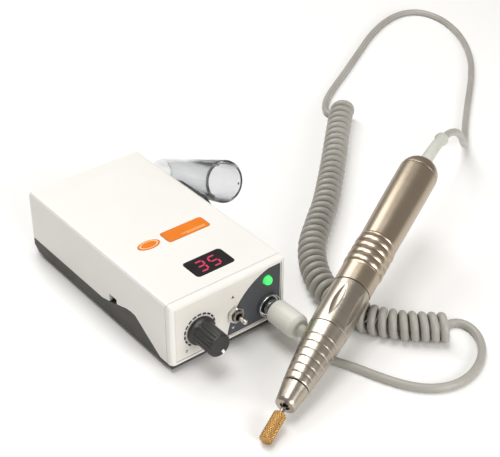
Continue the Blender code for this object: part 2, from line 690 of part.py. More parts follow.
def make_front_panel(whole):
    """The off-white panel with its recess and holes, and the grey inlay in the recess."""
    left, right, bottom, top = panel_edges()
    body = block((left, PANEL_Y, bottom), (right, PANEL_Y + PANEL_T, top))
    panel = add("front_panel", body, whole, "panel_white")
    front = PANEL_Y - INLAY_PROUD
    cut(panel, prism(inlay_outline(GAP), PANEL_Y - THROUGH, front + INLAY_T + GAP, "Y"))
    inlay = add("panel_inlay", prism(inlay_outline(0.0), front, front + INLAY_T, "Y"),
                whole, "inlay_grey")

    def holes(places):
        return group([prism(circle(radius + GAP, at, 20), PANEL_Y - THROUGH,
                            PANEL_Y + PANEL_T + THROUGH, "Y") for at, radius in places])

    on_inlay = [(TOGGLE_AT, TOGGLE_BUSH_R), (LED_AT, LED_R), (SOCKET_AT, SOCKET_NECK_R)]
    cut(panel, holes([(KNOB_AT, POT_BUSH_R)] + on_inlay))
    cut(inlay, holes(on_inlay))


def make_rear_panel(whole):
    """The dark rear panel with air slots, and the low-voltage inlet in it."""
    outside = REAR_Y - REAR_PANEL_IN
    half = SIDE_X - WALL - GAP
    body = block((-half, outside - REAR_PANEL_T, UNDERSIDE + TRAY_SIDE + GAP),
                 (half, outside, CEILING - GAP))
    panel = add("rear_panel", body, whole, "dark_shell")
    slots = []
    for i in range(SLOT_COUNT):
        low = SLOT_LOW + i * SLOT_PITCH
        slots.append(block((SLOT_X[0], outside - REAR_PANEL_T - THROUGH, low),
                           (SLOT_X[1], outside + THROUGH, low + SLOT_H)))
    cut(panel, group(slots))
    cut(panel, prism(circle(INLET_R + GAP, INLET_AT, 20), outside - REAR_PANEL_T - THROUGH,
                     outside + THROUGH, "Y"))
    turn = Matrix.Rotation(math.radians(-90), 3, "X").to_quaternion()
    place = frame("inlet_axis", whole, (INLET_AT[0], outside, INLET_AT[1]), turn)
    bottom = 1.2 * MM - INLET_L
    pin_end = -1.0 * MM
    jack = turned([(0, pin_end), (INLET_PIN_R, pin_end), (INLET_PIN_R, bottom),
                   (INLET_BORE_R, bottom), (INLET_BORE_R, INLET_PROUD),
                   (INLET_FLANGE_R, INLET_PROUD), (INLET_FLANGE_R, GAP), (INLET_R, GAP),
                   (INLET_R, -INLET_L), (0, -INLET_L)], 20)
    add("power_inlet", jack, place, "black_plastic")


# ---------------------------------------------------------------- controls on the front panel

def panel_frame(name, whole, at):
    """A frame on the panel's face: its +Z points straight out of the panel."""
    turn = Matrix.Rotation(math.radians(90), 3, "X").to_quaternion()
    return frame(name, whole, (at[0], PANEL_Y, at[1]), turn)


def make_speed_control(whole):
    """Potentiometer, its nut, its turning shaft, the knob and the pointer let into the knob."""
    axis = panel_frame("knob_axis", whole, KNOB_AT)
    bush_l = 3.8 * MM
    bore = POT_SHAFT_R + RUNNING_FIT
    back = PANEL_BACK - POT_BODY_R
    pot = turned([(0, back + 1.4 * MM), (bore, back + 1.4 * MM), (bore, bush_l), (POT_BUSH_R, bush_l),
                  (POT_BUSH_R, PANEL_BACK), (POT_BODY_R, PANEL_BACK), (POT_BODY_R, back), (0, back)])
    add("speed_potentiometer", pot, axis, "steel")
    hex_r = (POT_BUSH_R + NUT_WALL) / math.cos(math.pi / 6)
    nut = add("potentiometer_nut", prism(circle(hex_r, steps=6), GAP, GAP + NUT_H, "Z"), axis, "steel")
    cut(nut, rod(POT_BUSH_R + GAP, -THROUGH, THROUGH))

    shaft_end = KNOB_L - 3.0 * MM
    add("potentiometer_shaft", rod(POT_SHAFT_R, back + 1.8 * MM, shaft_end), axis, "steel")
    hollow_r = hex_r + 2 * GAP
    hollow = GAP + NUT_H + 2.2 * MM
    knob = add("speed_knob", turned([
        (0, KNOB_L), (KNOB_R - 0.8 * MM, KNOB_L), (KNOB_R - 0.2 * MM, KNOB_L - 0.7 * MM),
        (KNOB_R, KNOB_OFF + 2.5 * MM), (KNOB_SKIRT_R - 0.4 * MM, KNOB_OFF + 1.8 * MM),
        (KNOB_SKIRT_R, KNOB_OFF + 1.2 * MM), (KNOB_SKIRT_R, KNOB_OFF), (hollow_r, KNOB_OFF),
        (hollow_r, hollow), (POT_SHAFT_R + GAP, hollow), (POT_SHAFT_R + GAP, shaft_end + GAP),
        (0, shaft_end + GAP)], 32), axis, "black_plastic")
    tip = KNOB_R - 1.4 * MM
    inner = 1.4 * MM
    turn = Matrix.Rotation(POINTER_ANGLE, 4, "Z")

    def bar(grow, low, high):
        bm = block((inner - grow, -POINTER_W / 2 - grow, low), (tip + grow, POINTER_W / 2 + grow, high))
        bmesh.ops.transform(bm, matrix=turn, verts=bm.verts)
        return bm

    cut(knob, bar(GAP, KNOB_L - 0.8 * MM - GAP, KNOB_L + THROUGH))
    add("knob_pointer", bar(0.0, KNOB_L - 0.8 * MM, KNOB_L + 0.1 * MM), axis, "white_mark")


def make_toggle(whole):
    """Direction switch: body behind the panel, hexagon nut, and a bat lever on its pivot."""
    face = panel_frame("toggle_face", whole, TOGGLE_AT)
    half_w, half_h, depth = TOGGLE_BODY[0] / 2, TOGGLE_BODY[1] / 2, TOGGLE_BODY[2]
    body = block((-half_w, -half_h, PANEL_BACK - depth), (half_w, half_h, PANEL_BACK))
    switch = add("toggle_body", body, face, "black_plastic")
    fuse(switch, rod(TOGGLE_BUSH_R, PANEL_BACK - 1 * MM, TOGGLE_BUSH_L))
    cut(switch, rod(TOGGLE_BUSH_R - 0.8 * MM, TOGGLE_PIVOT - 2.0 * MM, TOGGLE_BUSH_L + THROUGH))
    hex_r = (TOGGLE_BUSH_R + 1.1 * MM) / math.cos(math.pi / 6)
    low = INLAY_PROUD + GAP
    nut = add("toggle_nut", prism(circle(hex_r, steps=6), low, low + NUT_H, "Z"), face, "chrome")
    cut(nut, rod(TOGGLE_BUSH_R + GAP, -THROUGH, THROUGH))

    pivot = frame("toggle_pivot", face, (0, 0, TOGGLE_PIVOT))
    reach = TOGGLE_L - TOGGLE_PIVOT
    ball, waist, bat = 1.4 * MM, 0.9 * MM, 1.35 * MM
    lever = turned([(0, -ball), (0.7 * ball, -0.7 * ball), (ball, 0), (0.7 * ball, 0.7 * ball),
                    (waist, 1.5 * ball), (bat, reach - 1.2 * MM), (0.75 * bat, reach - 0.3 * MM),
                    (0, reach)], 20)
    add("toggle_lever", lever, pivot, "chrome")


def make_led(whole):
    face = panel_frame("led_axis", whole, LED_AT)
    rim = PANEL_BACK - 1.0 * MM
    dome = [(LED_R * math.cos(a), LED_L - LED_R * (1 - math.sin(a)) * 0.9)
            for a in (math.radians(18 * i) for i in range(5))]
    lamp = turned([(0, rim), (LED_R + 0.5 * MM, rim), (LED_R + 0.5 * MM, PANEL_BACK),
                   (LED_R, PANEL_BACK)] + dome + [(0, LED_L)], 24)
    add("status_led", lamp, face, "led_green")


def make_socket_and_plug(whole):
    """Round handpiece socket with its ring nut, and the plug of the curly cord in it."""
    axis = panel_frame("socket_axis", whole, SOCKET_AT)
    bore = PLUG_PIN_R + GAP
    lip = 2.0 * MM
    back = PANEL_BACK - SOCKET_L
    socket = turned([(0, back + 3 * MM), (bore, back + 3 * MM), (bore, lip), (SOCKET_NECK_R, lip),
                     (SOCKET_NECK_R, PANEL_BACK), (SOCKET_BODY_R, PANEL_BACK),
                     (SOCKET_BODY_R, back), (0, back)])
    add("handpiece_socket", socket, axis, "black_plastic")
    low = INLAY_PROUD + GAP
    inner, high = SOCKET_NECK_R + GAP, low + RING_H
    ring = turned([(inner, low), (RING_R, low), (RING_R, high - 0.7 * MM),
                   (RING_R - 0.7 * MM, high), (inner, high)], 28, closed=True)
    add("socket_ring", ring, axis, "chrome")

    seat = high + GAP
    shoulder = seat + PLUG_SHOULDER_L
    pin = turned([(0, back + 5 * MM), (PLUG_PIN_R, back + 5 * MM), (PLUG_PIN_R, seat),
                  (PLUG_SHOULDER_R, seat), (PLUG_SHOULDER_R, shoulder), (0, shoulder)])
    add("plug_contact", pin, axis, "steel")
    front = shoulder + GAP
    rear = front + PLUG_L
    sleeve = turned([(0, front), (PLUG_R - 0.5 * MM, front), (PLUG_R, front + 0.5 * MM),
                     (PLUG_R, rear), (PLUG_TAPER[1], rear + PLUG_TAPER[0]), (0, rear + PLUG_TAPER[0])])
    add("plug_sleeve", sleeve, axis, "plug_ivory")
    tail = Vector((SOCKET_AT[0], PANEL_Y - rear - PLUG_TAPER[0] - GAP, SOCKET_AT[1]))
    path = [tail + Vector(point) * MM for point in PLUG_BOOT_ROUTE]
    radii = [PLUG_BOOT_R[0] + (PLUG_BOOT_R[1] - PLUG_BOOT_R[0]) * i / (len(path) - 1)
             for i in range(len(path))]
    add("plug_boot", swept(path, radii), whole, "plug_ivory")
    return path[-1], (path[-1] - path[-2]).normalized()


# ---------------------------------------------------------------- clear holder

def make_holder(whole):
    """Clear tapered tube with inner ribs, on a plate with two pegs that clips on the case."""
    mouth = Vector((SIDE_X + HOLDER_MOUTH[0], FRONT_Y + HOLDER_MOUTH[1], HOLDER_MOUTH[2]))
    along = Vector((-math.sin(HOLDER_TOE) * math.cos(HOLDER_SLOPE),
                    math.cos(HOLDER_TOE) * math.cos(HOLDER_SLOPE), -math.sin(HOLDER_SLOPE)))
    across = along.cross(Vector((0, 0, 1))).normalized()
    turn = Matrix((across, along.cross(across), along)).transposed().to_quaternion()
    place = frame("holder_axis", whole, mouth, turn)
    to_place = Matrix.LocRotScale(mouth, turn, None).inverted()

    front_r, rear_r = HOLDER_R
    body = turned([(0, 0), (front_r - 0.3 * MM, 0), (front_r, 0.4 * MM), (rear_r, HOLDER_L - 0.4 * MM),
                   (rear_r - 0.3 * MM, HOLDER_L), (0, HOLDER_L)], 32)
    holder = add("handpiece_holder", body, place, "clear_plastic")

    plate_x = SIDE_X + GAP
    notch_y = FRONT_Y + NOTCH[2]
    plate_front = notch_y - NOTCH[0] - PLATE_FRONT[0]
    outline = [(plate_front, PLATE_LOW), (plate_front, PLATE_FRONT[1])]
    outline += [(mouth.y + back * MM, height * MM) for back, height in PLATE_BACK]
    outline.append((mouth.y + PLATE_BEND, PLATE_LOW))
    plate = prism(outline, plate_x, plate_x + HOLDER_PLATE, "X")
    start, stop = (mouth.y + back for back in WEB_BACK)
    web_at = [mouth.z - math.tan(HOLDER_SLOPE) * back for back in WEB_BACK]
    web = prism([(start, web_at[0] - WEB_HALF - WEB_DROP), (start, web_at[0] + WEB_HALF - WEB_DROP),
                 (stop, web_at[1] + WEB_HALF), (stop, web_at[1] - WEB_HALF)],
                plate_x + HOLDER_PLATE / 2, mouth.x, "X")
    peg_top = NOTCH[1] - GAP
    peg = block((SIDE_X - HOLDER_PEG[2], notch_y - HOLDER_PEG[0] / 2, peg_top - HOLDER_PEG[1]),
                (plate_x + HOLDER_PLATE / 2, notch_y + HOLDER_PEG[0] / 2, peg_top))
    for shape in (plate, web, peg):
        bmesh.ops.transform(shape, matrix=to_place, verts=shape.verts)
        fuse(holder, shape)
    wall = HOLDER_WALL
    cut(holder, turned([(0, -THROUGH), (front_r - wall, -THROUGH), (front_r - wall, 0),
                        (rear_r - wall, HOLDER_L), (rear_r - wall, HOLDER_L + THROUGH),
                        (0, HOLDER_L + THROUGH)], 32))
    for angle in (math.radians(a) for a in RIB_ANGLES):
        rib = block((front_r - wall - HOLDER_RIB, -RIB_W / 2, RIB_SPAN[0]),
                    (front_r - wall / 2, RIB_W / 2, RIB_SPAN[1]))
        bmesh.ops.rotate(rib, verts=rib.verts, cent=(0, 0, 0), matrix=Matrix.Rotation(angle, 3, "Z"))
        fuse(holder, rib)


# ---------------------------------------------------------------- handpiece

def lying_tilt():
    """How steeply the handpiece lies with its burr down and its body on the curly cord."""
    reach = HAND_REST + BURR_OFF + BURR_L
    tilt = 0.0
    for _ in range(30):
        rise = 2 * COIL_R + 2 * GAP + BODY_R / math.cos(tilt) - BURR_R * math.cos(tilt) - GAP
        tilt = math.asin(rise / reach)
    return tilt


def hand_frame(whole):
    """The handpiece's own frame: origin at the tip of the nose, +Z along the axis to the rear."""
    tilt = lying_tilt()
    along = Vector((math.cos(HAND_HEADING) * math.cos(tilt), math.sin(HAND_HEADING) * math.cos(tilt),
                    math.sin(tilt)))
    burr_end = Vector((SIDE_X + BURR_END_AT[0], FRONT_Y + BURR_END_AT[1], BURR_R * math.cos(tilt) + GAP))
    nose = burr_end + along * (BURR_OFF + BURR_L)
    across = along.cross(Vector((0, 0, 1))).normalized()
    turn = Matrix((across, along.cross(across), along)).transposed().to_quaternion()
    return frame("handpiece_axis", whole, nose, turn), nose, along


def cone_r(at):
    """Outer radius of the handpiece in front of its sleeve."""
    if at < NOSE_L:
        return NOSE_R + (CONE_R - NOSE_R) * at / NOSE_L
    return CONE_R + (GRIP_R - CONE_R) * ((at - NOSE_L) / (CONE_END - NOSE_L)) ** 0.85


def make_handpiece_body(axis):
    """Nose cap, grip cone, twist sleeve, ribbed rear shell and domed end."""
    bore = SPINDLE_R + GAP
    nose_out = [(cone_r(at), at) for at in (0.6 * MM, 4 * MM, 8 * MM, NOSE_L)]
    add("nose_cap", turned([(COLLET_R + 2 * GAP, 0), (NOSE_R - 0.6 * MM, 0)] + nose_out
                           + [(bore, NOSE_L), (bore, 3 * MM), (COLLET_R + 2 * GAP, 3 * MM)],
                           28, closed=True), axis, "champagne")

    start, stop = NOSE_L + GAP, CONE_END
    outer = [(cone_r(start + (stop - start) * i / 8), start + (stop - start) * i / 8) for i in range(9)]
    seat = BEARING_R + GAP
    step = start + BEARING_L + 4 * GAP
    add("grip_cone", turned([(seat, start)] + outer + [(GRIP_R - SHELL_T, stop), (seat, step + 6 * MM),
                                                      (seat, step)], 28, closed=True), axis, "champagne")

    start, stop = CONE_END + GAP, SLEEVE_END
    swell = 0.25 * MM
    outer = [(GRIP_R + swell * math.sin(math.pi * i / 8), start + (stop - start) * i / 8)
             for i in range(9)]
    inner = GRIP_R - SHELL_T
    add("twist_sleeve", turned([(inner, start)] + outer + [(inner, stop)], 28, closed=True),
        axis, "champagne")

    start, stop = SLEEVE_END + GAP, HAND_L - DOME_L - GAP
    outer = [(BODY_R, start), (BODY_R, RIBS_AT)]
    for i in range(RIB_COUNT):
        rib = RIBS_AT + i * RIB_PITCH
        outer += [(BODY_R + RIB_H * height, rib + RIB_PITCH * part)
                  for part, height in ((0.2, 0.7), (0.5, 1.0), (0.8, 0.7), (1.0, 0.0))]
    outer += [(BODY_R + (REAR_R - BODY_R) * 0.6, (RIBS_AT + stop) / 2 + 10 * MM), (REAR_R, stop)]
    inner = BODY_R - SHELL_T
    add("rear_shell", turned([(inner, start)] + outer + [(REAR_R - SHELL_T, stop)], 28, closed=True),
        axis, "champagne")

    start = HAND_L - DOME_L
    hole = BOOT_R[0] + GAP
    dome = [(REAR_R * math.cos(a) ** 0.8, start + DOME_L * math.sin(a) ** 1.15)
            for a in (math.radians(15 * i) for i in range(5))]
    dome.append((hole, HAND_L))
    add("rear_cap", turned([(hole, start)] + dome, 28, closed=True), axis, "champagne")


def make_drive(axis):
    """What turns and what drives it: burr, shank, collet, spindle, bearings and motor."""
    burr_low, burr_high = -BURR_OFF - BURR_L, -BURR_OFF
    chamfer = 0.7 * MM
    burr = turned([(0, burr_low), (BURR_R - chamfer, burr_low), (BURR_R, burr_low + chamfer),
                   (BURR_R, burr_high - chamfer), (BURR_R - chamfer, burr_high),
                   (SHANK_R + GAP, burr_high), (SHANK_R + GAP, burr_high - SHANK_IN),
                   (0, burr_high - SHANK_IN)], 24)
    add("burr_head", burr, axis, "brass_gold")
    add("burr_shank", rod(SHANK_R, burr_high - SHANK_IN + GAP, SHANK_END, 16), axis, "steel")
    add("collet", tube(COLLET_R, SHANK_R + GAP, *COLLET_SPAN, 20), axis, "steel")

    bore = COLLET_R + GAP
    spindle_start, spindle_end = SPINDLE_SPAN
    spindle = turned([(0, SHANK_END + 2 * MM), (bore, SHANK_END + 2 * MM), (bore, spindle_start),
                      (SPINDLE_R, spindle_start), (SPINDLE_R, spindle_end), (0, spindle_end)], 24)
    add("spindle", spindle, axis, "steel")
    inner = SPINDLE_R + RUNNING_FIT
    for name, at in (("front_bearing", NOSE_L + 2 * GAP), ("rear_bearing", REAR_BEARING_AT)):
        add(name, tube(BEARING_R, inner, at, at + BEARING_L, 24), axis, "chrome")

    join = spindle_end + GAP
    coupling_end = join + COUPLING_L
    add("drive_coupling", rod(COUPLING_R, join, coupling_end, 20), axis, "black_plastic")
    rotor_low, rotor_high = ROTOR_SPAN
    motor_low, motor_high = MOTOR_SPAN
    rotor = turned([(0, coupling_end + GAP), (MOTOR_SHAFT_R, coupling_end + GAP),
                    (MOTOR_SHAFT_R, rotor_low), (ROTOR_R, rotor_low), (ROTOR_R, rotor_high),
                    (MOTOR_SHAFT_R, rotor_high), (MOTOR_SHAFT_R, motor_high - 2 * MM),
                    (0, motor_high - 2 * MM)], 24)
    add("motor_rotor", rotor, axis, "copper")
    coil_in, coil_out = ROTOR_R + GAP, MOTOR_R - MOTOR_WALL - GAP
    add("motor_windings", tube(coil_out, coil_in, rotor_low + MM, rotor_high - MM), axis, "copper")
    eye = MOTOR_SHAFT_R + RUNNING_FIT
    can = turned([(0, motor_high - MOTOR_WALL), (MOTOR_R - MOTOR_WALL, motor_high - MOTOR_WALL),
                  (MOTOR_R - MOTOR_WALL, motor_low + MOTOR_WALL), (eye, motor_low + MOTOR_WALL),
                  (eye, motor_low), (MOTOR_R, motor_low), (MOTOR_R, motor_high), (0, motor_high)], 24)
    add("motor_can", can, axis, "steel")


# ---------------------------------------------------------------- cord

def laid(route, height=0.0):
    """A route's points, moved with the case's front right corner."""
    corner = Vector((SIDE_X - CORNER_LAID[0] * MM, FRONT_Y - CORNER_LAID[1] * MM, height))
    return [corner + Vector((*point, 0.0)[:3]) * MM for point in route]


def make_cord(whole, nose, along, plug_tail, plug_way):
    """Boot, the lead that falls from it, the curly length, and the lead back to the plug."""
    start = nose + along * (HAND_L - 1.5 * MM)
    share = [i / 8 for i in range(9)]
    path = [start + along * BOOT_L * t - Vector((0, 0, BOOT_DROOP * t * t)) for t in share]
    radii = [BOOT_R[0] + (BOOT_R[1] - BOOT_R[0]) * t for t in share]
    radii[-1] = radii[-2] = COLLAR_R
    path[-2] = path[-1].lerp(path[-3], 0.3)
    add("handpiece_boot", swept(path, radii, 20), whole, "plug_ivory")

    centre = smooth_points(laid(COIL_ROUTE, COIL_R), CORD_STEP)
    cable("cord_coil", centre, COIL_R, whole, "cord_grey", 4)
    beside = Vector((0, 0, CORD_R - COIL_R))
    past = CORD_R + GAP
    far_end = centre[0] + beside + (centre[0] - centre[1]).normalized() * past
    near_end = centre[-1] + beside + (centre[-1] - centre[-2]).normalized() * past

    way = (path[-1] - path[-2]).normalized()
    hand_end, hand_straight = (path[-1] + way * reach for reach in (GAP, CORD_R))
    falling = smooth_points([hand_straight] + laid(HAND_LEAD_ROUTE) + [far_end], CORD_STEP)
    cable("cord_to_handpiece", [hand_end] + falling, CORD_R, whole, "cord_grey", 2)
    plug_end, plug_straight = (plug_tail + plug_way * reach for reach in (GAP, CORD_R))
    lying = smooth_points([near_end] + laid(PLUG_LEAD_ROUTE) + [plug_straight], 0.8 * CORD_STEP)
    cable("cord_to_plug", lying + [plug_end], CORD_R, whole, "cord_grey", 2)


CORD_PIECES = {"cord_coil", "cord_to_handpiece", "cord_to_plug", "handpiece_boot",
               "plug_contact", "plug_sleeve", "plug_boot"}


def settle(whole):
    """Move the whole model so that the origin is under the middle of all but the cord's pieces."""
    bpy.context.view_layer.update()
    low, high = Vector((1, 1, 1)), Vector((-1, -1, -1))
    for piece in bpy.context.collection.objects:
        if piece.type == "EMPTY" or piece.hide_render or piece.name in CORD_PIECES:
            continue
        for vert in piece.data.vertices:
            place = piece.matrix_world @ vert.co
            low = Vector(map(min, low, place))
            high = Vector(map(max, high, place))
    whole.location = (-(low.x + high.x) / 2, -(low.y + high.y) / 2, -low.z)
    bpy.context.view_layer.update()


def build():
    for old in list(bpy.data.objects):
        bpy.data.objects.remove(old, do_unlink=True)
    whole = frame("nail_drill")
    make_cover(whole)
    make_tray(whole)
    make_bezel(whole)
    make_feet_and_screws(whole)
    make_display_and_badges(whole)
    make_electronics(whole)
    make_front_panel(whole)
    make_rear_panel(whole)
    make_speed_control(whole)
    make_toggle(whole)
    make_led(whole)
    plug_tail, plug_way = make_socket_and_plug(whole)
    make_holder(whole)
    axis, nose, along = hand_frame(whole)
    make_handpiece_body(axis)
    make_drive(axis)
    make_cord(whole, nose, along, plug_tail, plug_way)
    settle(whole)


build()
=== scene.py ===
"""Electric nail drill: the finish of every piece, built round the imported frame.

The sections follow the way the drill is put together: cord, control unit, controls,
holder and handpiece. Lengths are in metres and +Z is up.
"""
import json
import math

import bmesh
import bpy
from mathutils import Matrix, Vector


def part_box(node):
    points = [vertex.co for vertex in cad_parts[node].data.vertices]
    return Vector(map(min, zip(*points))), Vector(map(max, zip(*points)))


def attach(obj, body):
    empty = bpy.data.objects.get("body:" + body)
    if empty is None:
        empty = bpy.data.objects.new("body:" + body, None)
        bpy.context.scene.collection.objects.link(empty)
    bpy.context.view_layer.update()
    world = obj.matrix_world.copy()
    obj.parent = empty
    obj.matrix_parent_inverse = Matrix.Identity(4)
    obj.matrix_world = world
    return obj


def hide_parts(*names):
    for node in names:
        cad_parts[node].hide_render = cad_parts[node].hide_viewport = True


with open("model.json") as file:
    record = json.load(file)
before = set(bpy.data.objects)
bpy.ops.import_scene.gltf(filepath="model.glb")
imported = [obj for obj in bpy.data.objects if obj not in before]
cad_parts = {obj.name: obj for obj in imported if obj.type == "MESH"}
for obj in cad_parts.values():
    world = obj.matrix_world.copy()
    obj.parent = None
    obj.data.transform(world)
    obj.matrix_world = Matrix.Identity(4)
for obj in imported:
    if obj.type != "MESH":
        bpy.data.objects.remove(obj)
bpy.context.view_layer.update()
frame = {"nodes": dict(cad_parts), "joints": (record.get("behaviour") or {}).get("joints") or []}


# ------------------------------ desk, lights and camera
# A seamless pale desk top under a large overhead softbox. One behind the drill gives its
# metal a soft bright band, and a low fill in front opens up the panel and the shadows.
MM = 0.001
tray_low, tray_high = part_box("base_tray")
CASE_MIDDLE = (tray_low + tray_high) / 2
CASE_MIDDLE.z = 0.0


def on_desk(x, y, z=0.0):
    """A place in millimetres from the point of the desk under the middle of the case."""
    return CASE_MIDDLE + Vector((x, y, z)) * MM


def look(rightwards, upwards, towards):
    """The turn of a camera or lamp from its own right, its own up and the way it faces."""
    return Matrix((rightwards, upwards, -towards)).transposed().to_4x4()


def softbox(name, at, aim, size, power):
    """A rectangular lamp at one place that faces another, with its size in millimetres."""
    lamp = bpy.data.lights.new(name, "AREA")
    lamp.shape = "RECTANGLE"
    lamp.size = size[0] * MM
    lamp.size_y = size[1] * MM
    lamp.energy = power
    stand = bpy.data.objects.new(name, lamp)
    bpy.context.scene.collection.objects.link(stand)
    away = (on_desk(*at) - on_desk(*aim)).normalized()
    facing = away.to_track_quat("Z", "Y").to_matrix().to_4x4()
    stand.matrix_world = Matrix.Translation(on_desk(*at)) @ facing


softbox("overhead_softbox", (0, 60, 1100), (40, 0, 0), (640, 520), 5.6)
softbox("rear_softbox", (90, 640, 800), (60, 0, 0), (480, 560), 3.8)
softbox("front_fill", (60, -1000, 420), (60, -100, 20), (700, 400), 6.2)

WARM_AIR = (1.0, 0.955, 0.905, 1.0)
AIR_STRENGTH = 0.33
world = bpy.data.worlds.new("studio_air")
bpy.context.scene.world = world
world.use_nodes = True
air = world.node_tree.nodes["Background"]
air.inputs["Color"].default_value = WARM_AIR
air.inputs["Strength"].default_value = AIR_STRENGTH

DESK_SIDE = 6.0
DESK_COLOUR = (0.95, 0.945, 0.935, 1.0)
DESK_ROUGHNESS = 0.55
bpy.ops.mesh.primitive_plane_add(size=DESK_SIDE, location=on_desk(0, 0))
desk = bpy.context.object
desk.name = "desk_top"
desk_finish = bpy.data.materials.new("pale_desk")
desk_finish.use_nodes = True
desk_shader = desk_finish.node_tree.nodes["Principled BSDF"]
desk_shader.inputs["Base Color"].default_value = DESK_COLOUR
desk_shader.inputs["Roughness"].default_value = DESK_ROUGHNESS
desk.data.materials.append(desk_finish)

CAMERA_AT = (-278.4, -427.1, 379.9)
CAMERA_HEADING, CAMERA_DROP, CAMERA_ROLL = (math.radians(a) for a in (38.69, 34.20, 0.204))
FILM_WIDTH, FOCAL_LENGTH = 36.0, 86.4
ahead = Vector((math.sin(CAMERA_HEADING) * math.cos(CAMERA_DROP),
                math.cos(CAMERA_HEADING) * math.cos(CAMERA_DROP), -math.sin(CAMERA_DROP)))
level = Vector((math.cos(CAMERA_HEADING), -math.sin(CAMERA_HEADING), 0.0))
upright = level.cross(ahead)
lens = bpy.data.cameras.new("camera")
lens.sensor_width = FILM_WIDTH
lens.lens = FOCAL_LENGTH
lens.clip_start = 0.02
camera = bpy.data.objects.new("camera", lens)
bpy.context.scene.collection.objects.link(camera)
camera.matrix_world = Matrix.Translation(on_desk(*CAMERA_AT)) @ look(
    level * math.cos(CAMERA_ROLL) + upright * math.sin(CAMERA_ROLL),
    upright * math.cos(CAMERA_ROLL) - level * math.sin(CAMERA_ROLL), ahead)
bpy.context.scene.camera = camera
bpy.context.scene.view_settings.view_transform = "Standard"


# ------------------------------ curly cord
# A four-core cord in soft warm-grey PVC, wound hot on a mandrel so that it springs back
# into a coil. Its plain ends run to the handpiece's boot and to the plug.
CORD_D = 4.2
COIL_OUTER = 15.5
COIL_TURNS = 45
TURN_POINTS = 16
PITCH_FAR = 7.3          # the turns stand open towards the handpiece, which has pulled on them
PITCH_NEAR = 4.6
COIL_OVERRUN = CORD_D / 2 + 0.3   # the first and last turns pass the ends of the centreline
COIL_ROUTE = [
    (196.0, 70.0), (189.0, 64.2), (169.4, 45.8), (149.6, 26.8), (130.3, 8.8), (112.5, -7.1),
    (96.9, -19.3), (82.5, -31.0), (73.0, -41.5), (64.5, -54.5), (58.8, -69.0), (57.3, -84.0),
    (60.3, -97.8), (67.0, -109.3), (75.0, -118.0), (84.0, -126.0),
]
HAND_LEAD_ROUTE = [
    (176.5, -38.4, 45.8), (188.5, -33.0, 39.6), (200.0, -27.0, 30.0), (211.0, -19.8, 19.0),
    (223.0, -11.0, 9.3), (236.0, 0.0, 3.6), (250.0, 12.5, 2.1), (269.0, 28.5, 2.1),
    (288.0, 44.0, 2.1), (307.0, 60.0, 2.1), (324.5, 77.0, 2.1), (339.5, 96.0, 2.1),
    (351.0, 116.5, 2.1), (357.0, 138.0, 2.1), (354.0, 155.0, 2.1), (342.0, 162.5, 2.1),
    (323.0, 160.5, 2.1), (297.5, 150.0, 2.1), (268.6, 133.3, 2.1), (241.0, 116.9, 2.1),
    (217.0, 103.0, 2.1), (203.0, 93.5, 2.1), (195.2, 85.5, 2.1), (192.4, 78.0, 2.1),
]
PLUG_LEAD_ROUTE = [
    (90.3, -122.8, 2.1), (95.0, -121.8, 2.1), (99.3, -124.8, 2.1), (100.6, -130.8, 2.1),
    (98.0, -138.6, 2.1), (91.8, -146.2, 2.1), (83.0, -152.0, 2.1), (72.6, -155.2, 2.1),
    (62.0, -154.6, 2.1), (52.6, -149.8, 2.1), (45.2, -141.2, 2.1), (39.4, -129.2, 2.1),
    (34.8, -117.0, 2.1), (30.8, -108.4, 2.1), (27.8, -102.6, 2.6),
]
PLUG_TAIL_GAP = 0.3
PLUG_BOOT_ROUTE = [
    (0.0, 0.0, 0.0), (0.0, -1.0, 0.0), (0.1, -2.4, -0.9), (0.3, -3.7, -2.6), (0.6, -4.9, -4.6),
    (1.1, -6.0, -6.9),
]
HAND_LENGTH = 170.0
BOOT_SUNK = 1.5          # how far the boot starts inside the handpiece's end cap
BOOT_LENGTH = 31.0
BOOT_DROOP = 5.0
spin = next(joint for joint in frame["joints"] if joint["name"] == "spindle_spin")
NOSE = Vector(spin["pos_m"])
ALONG = Vector(spin["axis"]).normalized()


def smooth_path(route, step):
    """Points at an even spacing on a smooth curve through a route's own points."""
    fine = []
    last = len(route) - 1
    for i in range(last):
        p0, p1, p2, p3 = (route[max(i - 1, 0)], route[i], route[i + 1], route[min(i + 2, last)])
        for k in range(12):
            t = k / 12
            fine.append(0.5 * ((2 * p1) + (p2 - p0) * t + (2 * p0 - 5 * p1 + 4 * p2 - p3) * t ** 2
                               + (3 * p1 - p0 - 3 * p2 + p3) * t ** 3))
    fine.append(route[-1])
    travelled = [0.0]
    for a, b in zip(fine, fine[1:]):
        travelled.append(travelled[-1] + (b - a).length)
    count = max(2, round(travelled[-1] / step))
    points = [fine[0]]
    segment = 0
    for k in range(1, count):
        target = travelled[-1] * k / count
        while travelled[segment + 1] < target:
            segment += 1
        part = (target - travelled[segment]) / (travelled[segment + 1] - travelled[segment])
        points.append(fine[segment].lerp(fine[segment + 1], part))
    points.append(fine[-1])
    return points


def helix_points(line, radius, turns, overrun):
    """The turns of the coil round its centreline, from the desk side to the desk side."""
    step = (line[1] - line[0]).length
    reach = step * (len(line) - 1) + 2 * overrun
    count = turns * TURN_POINTS
    pitches = [PITCH_FAR + (PITCH_NEAR - PITCH_FAR) * ((k + 0.5) / count) ** 0.8
               for k in range(count)]
    stretch = reach / sum(pitches)
    points = []
    travelled = -overrun
    for k in range(count + 1):
        i = min(max(int(travelled / step), 0), len(line) - 2)
        way = (line[i + 1] - line[i]).normalized()
        centre = line[i] + way * (travelled - i * step)
        left = Vector((0, 0, 1)).cross(way)
        turn = 2 * math.pi * k / TURN_POINTS
        outward = math.sin(turn) * left - math.cos(turn) * Vector((0, 0, 1))
        points.append(centre + radius * outward)
        if k < count:
            travelled += pitches[k] * stretch
    return points


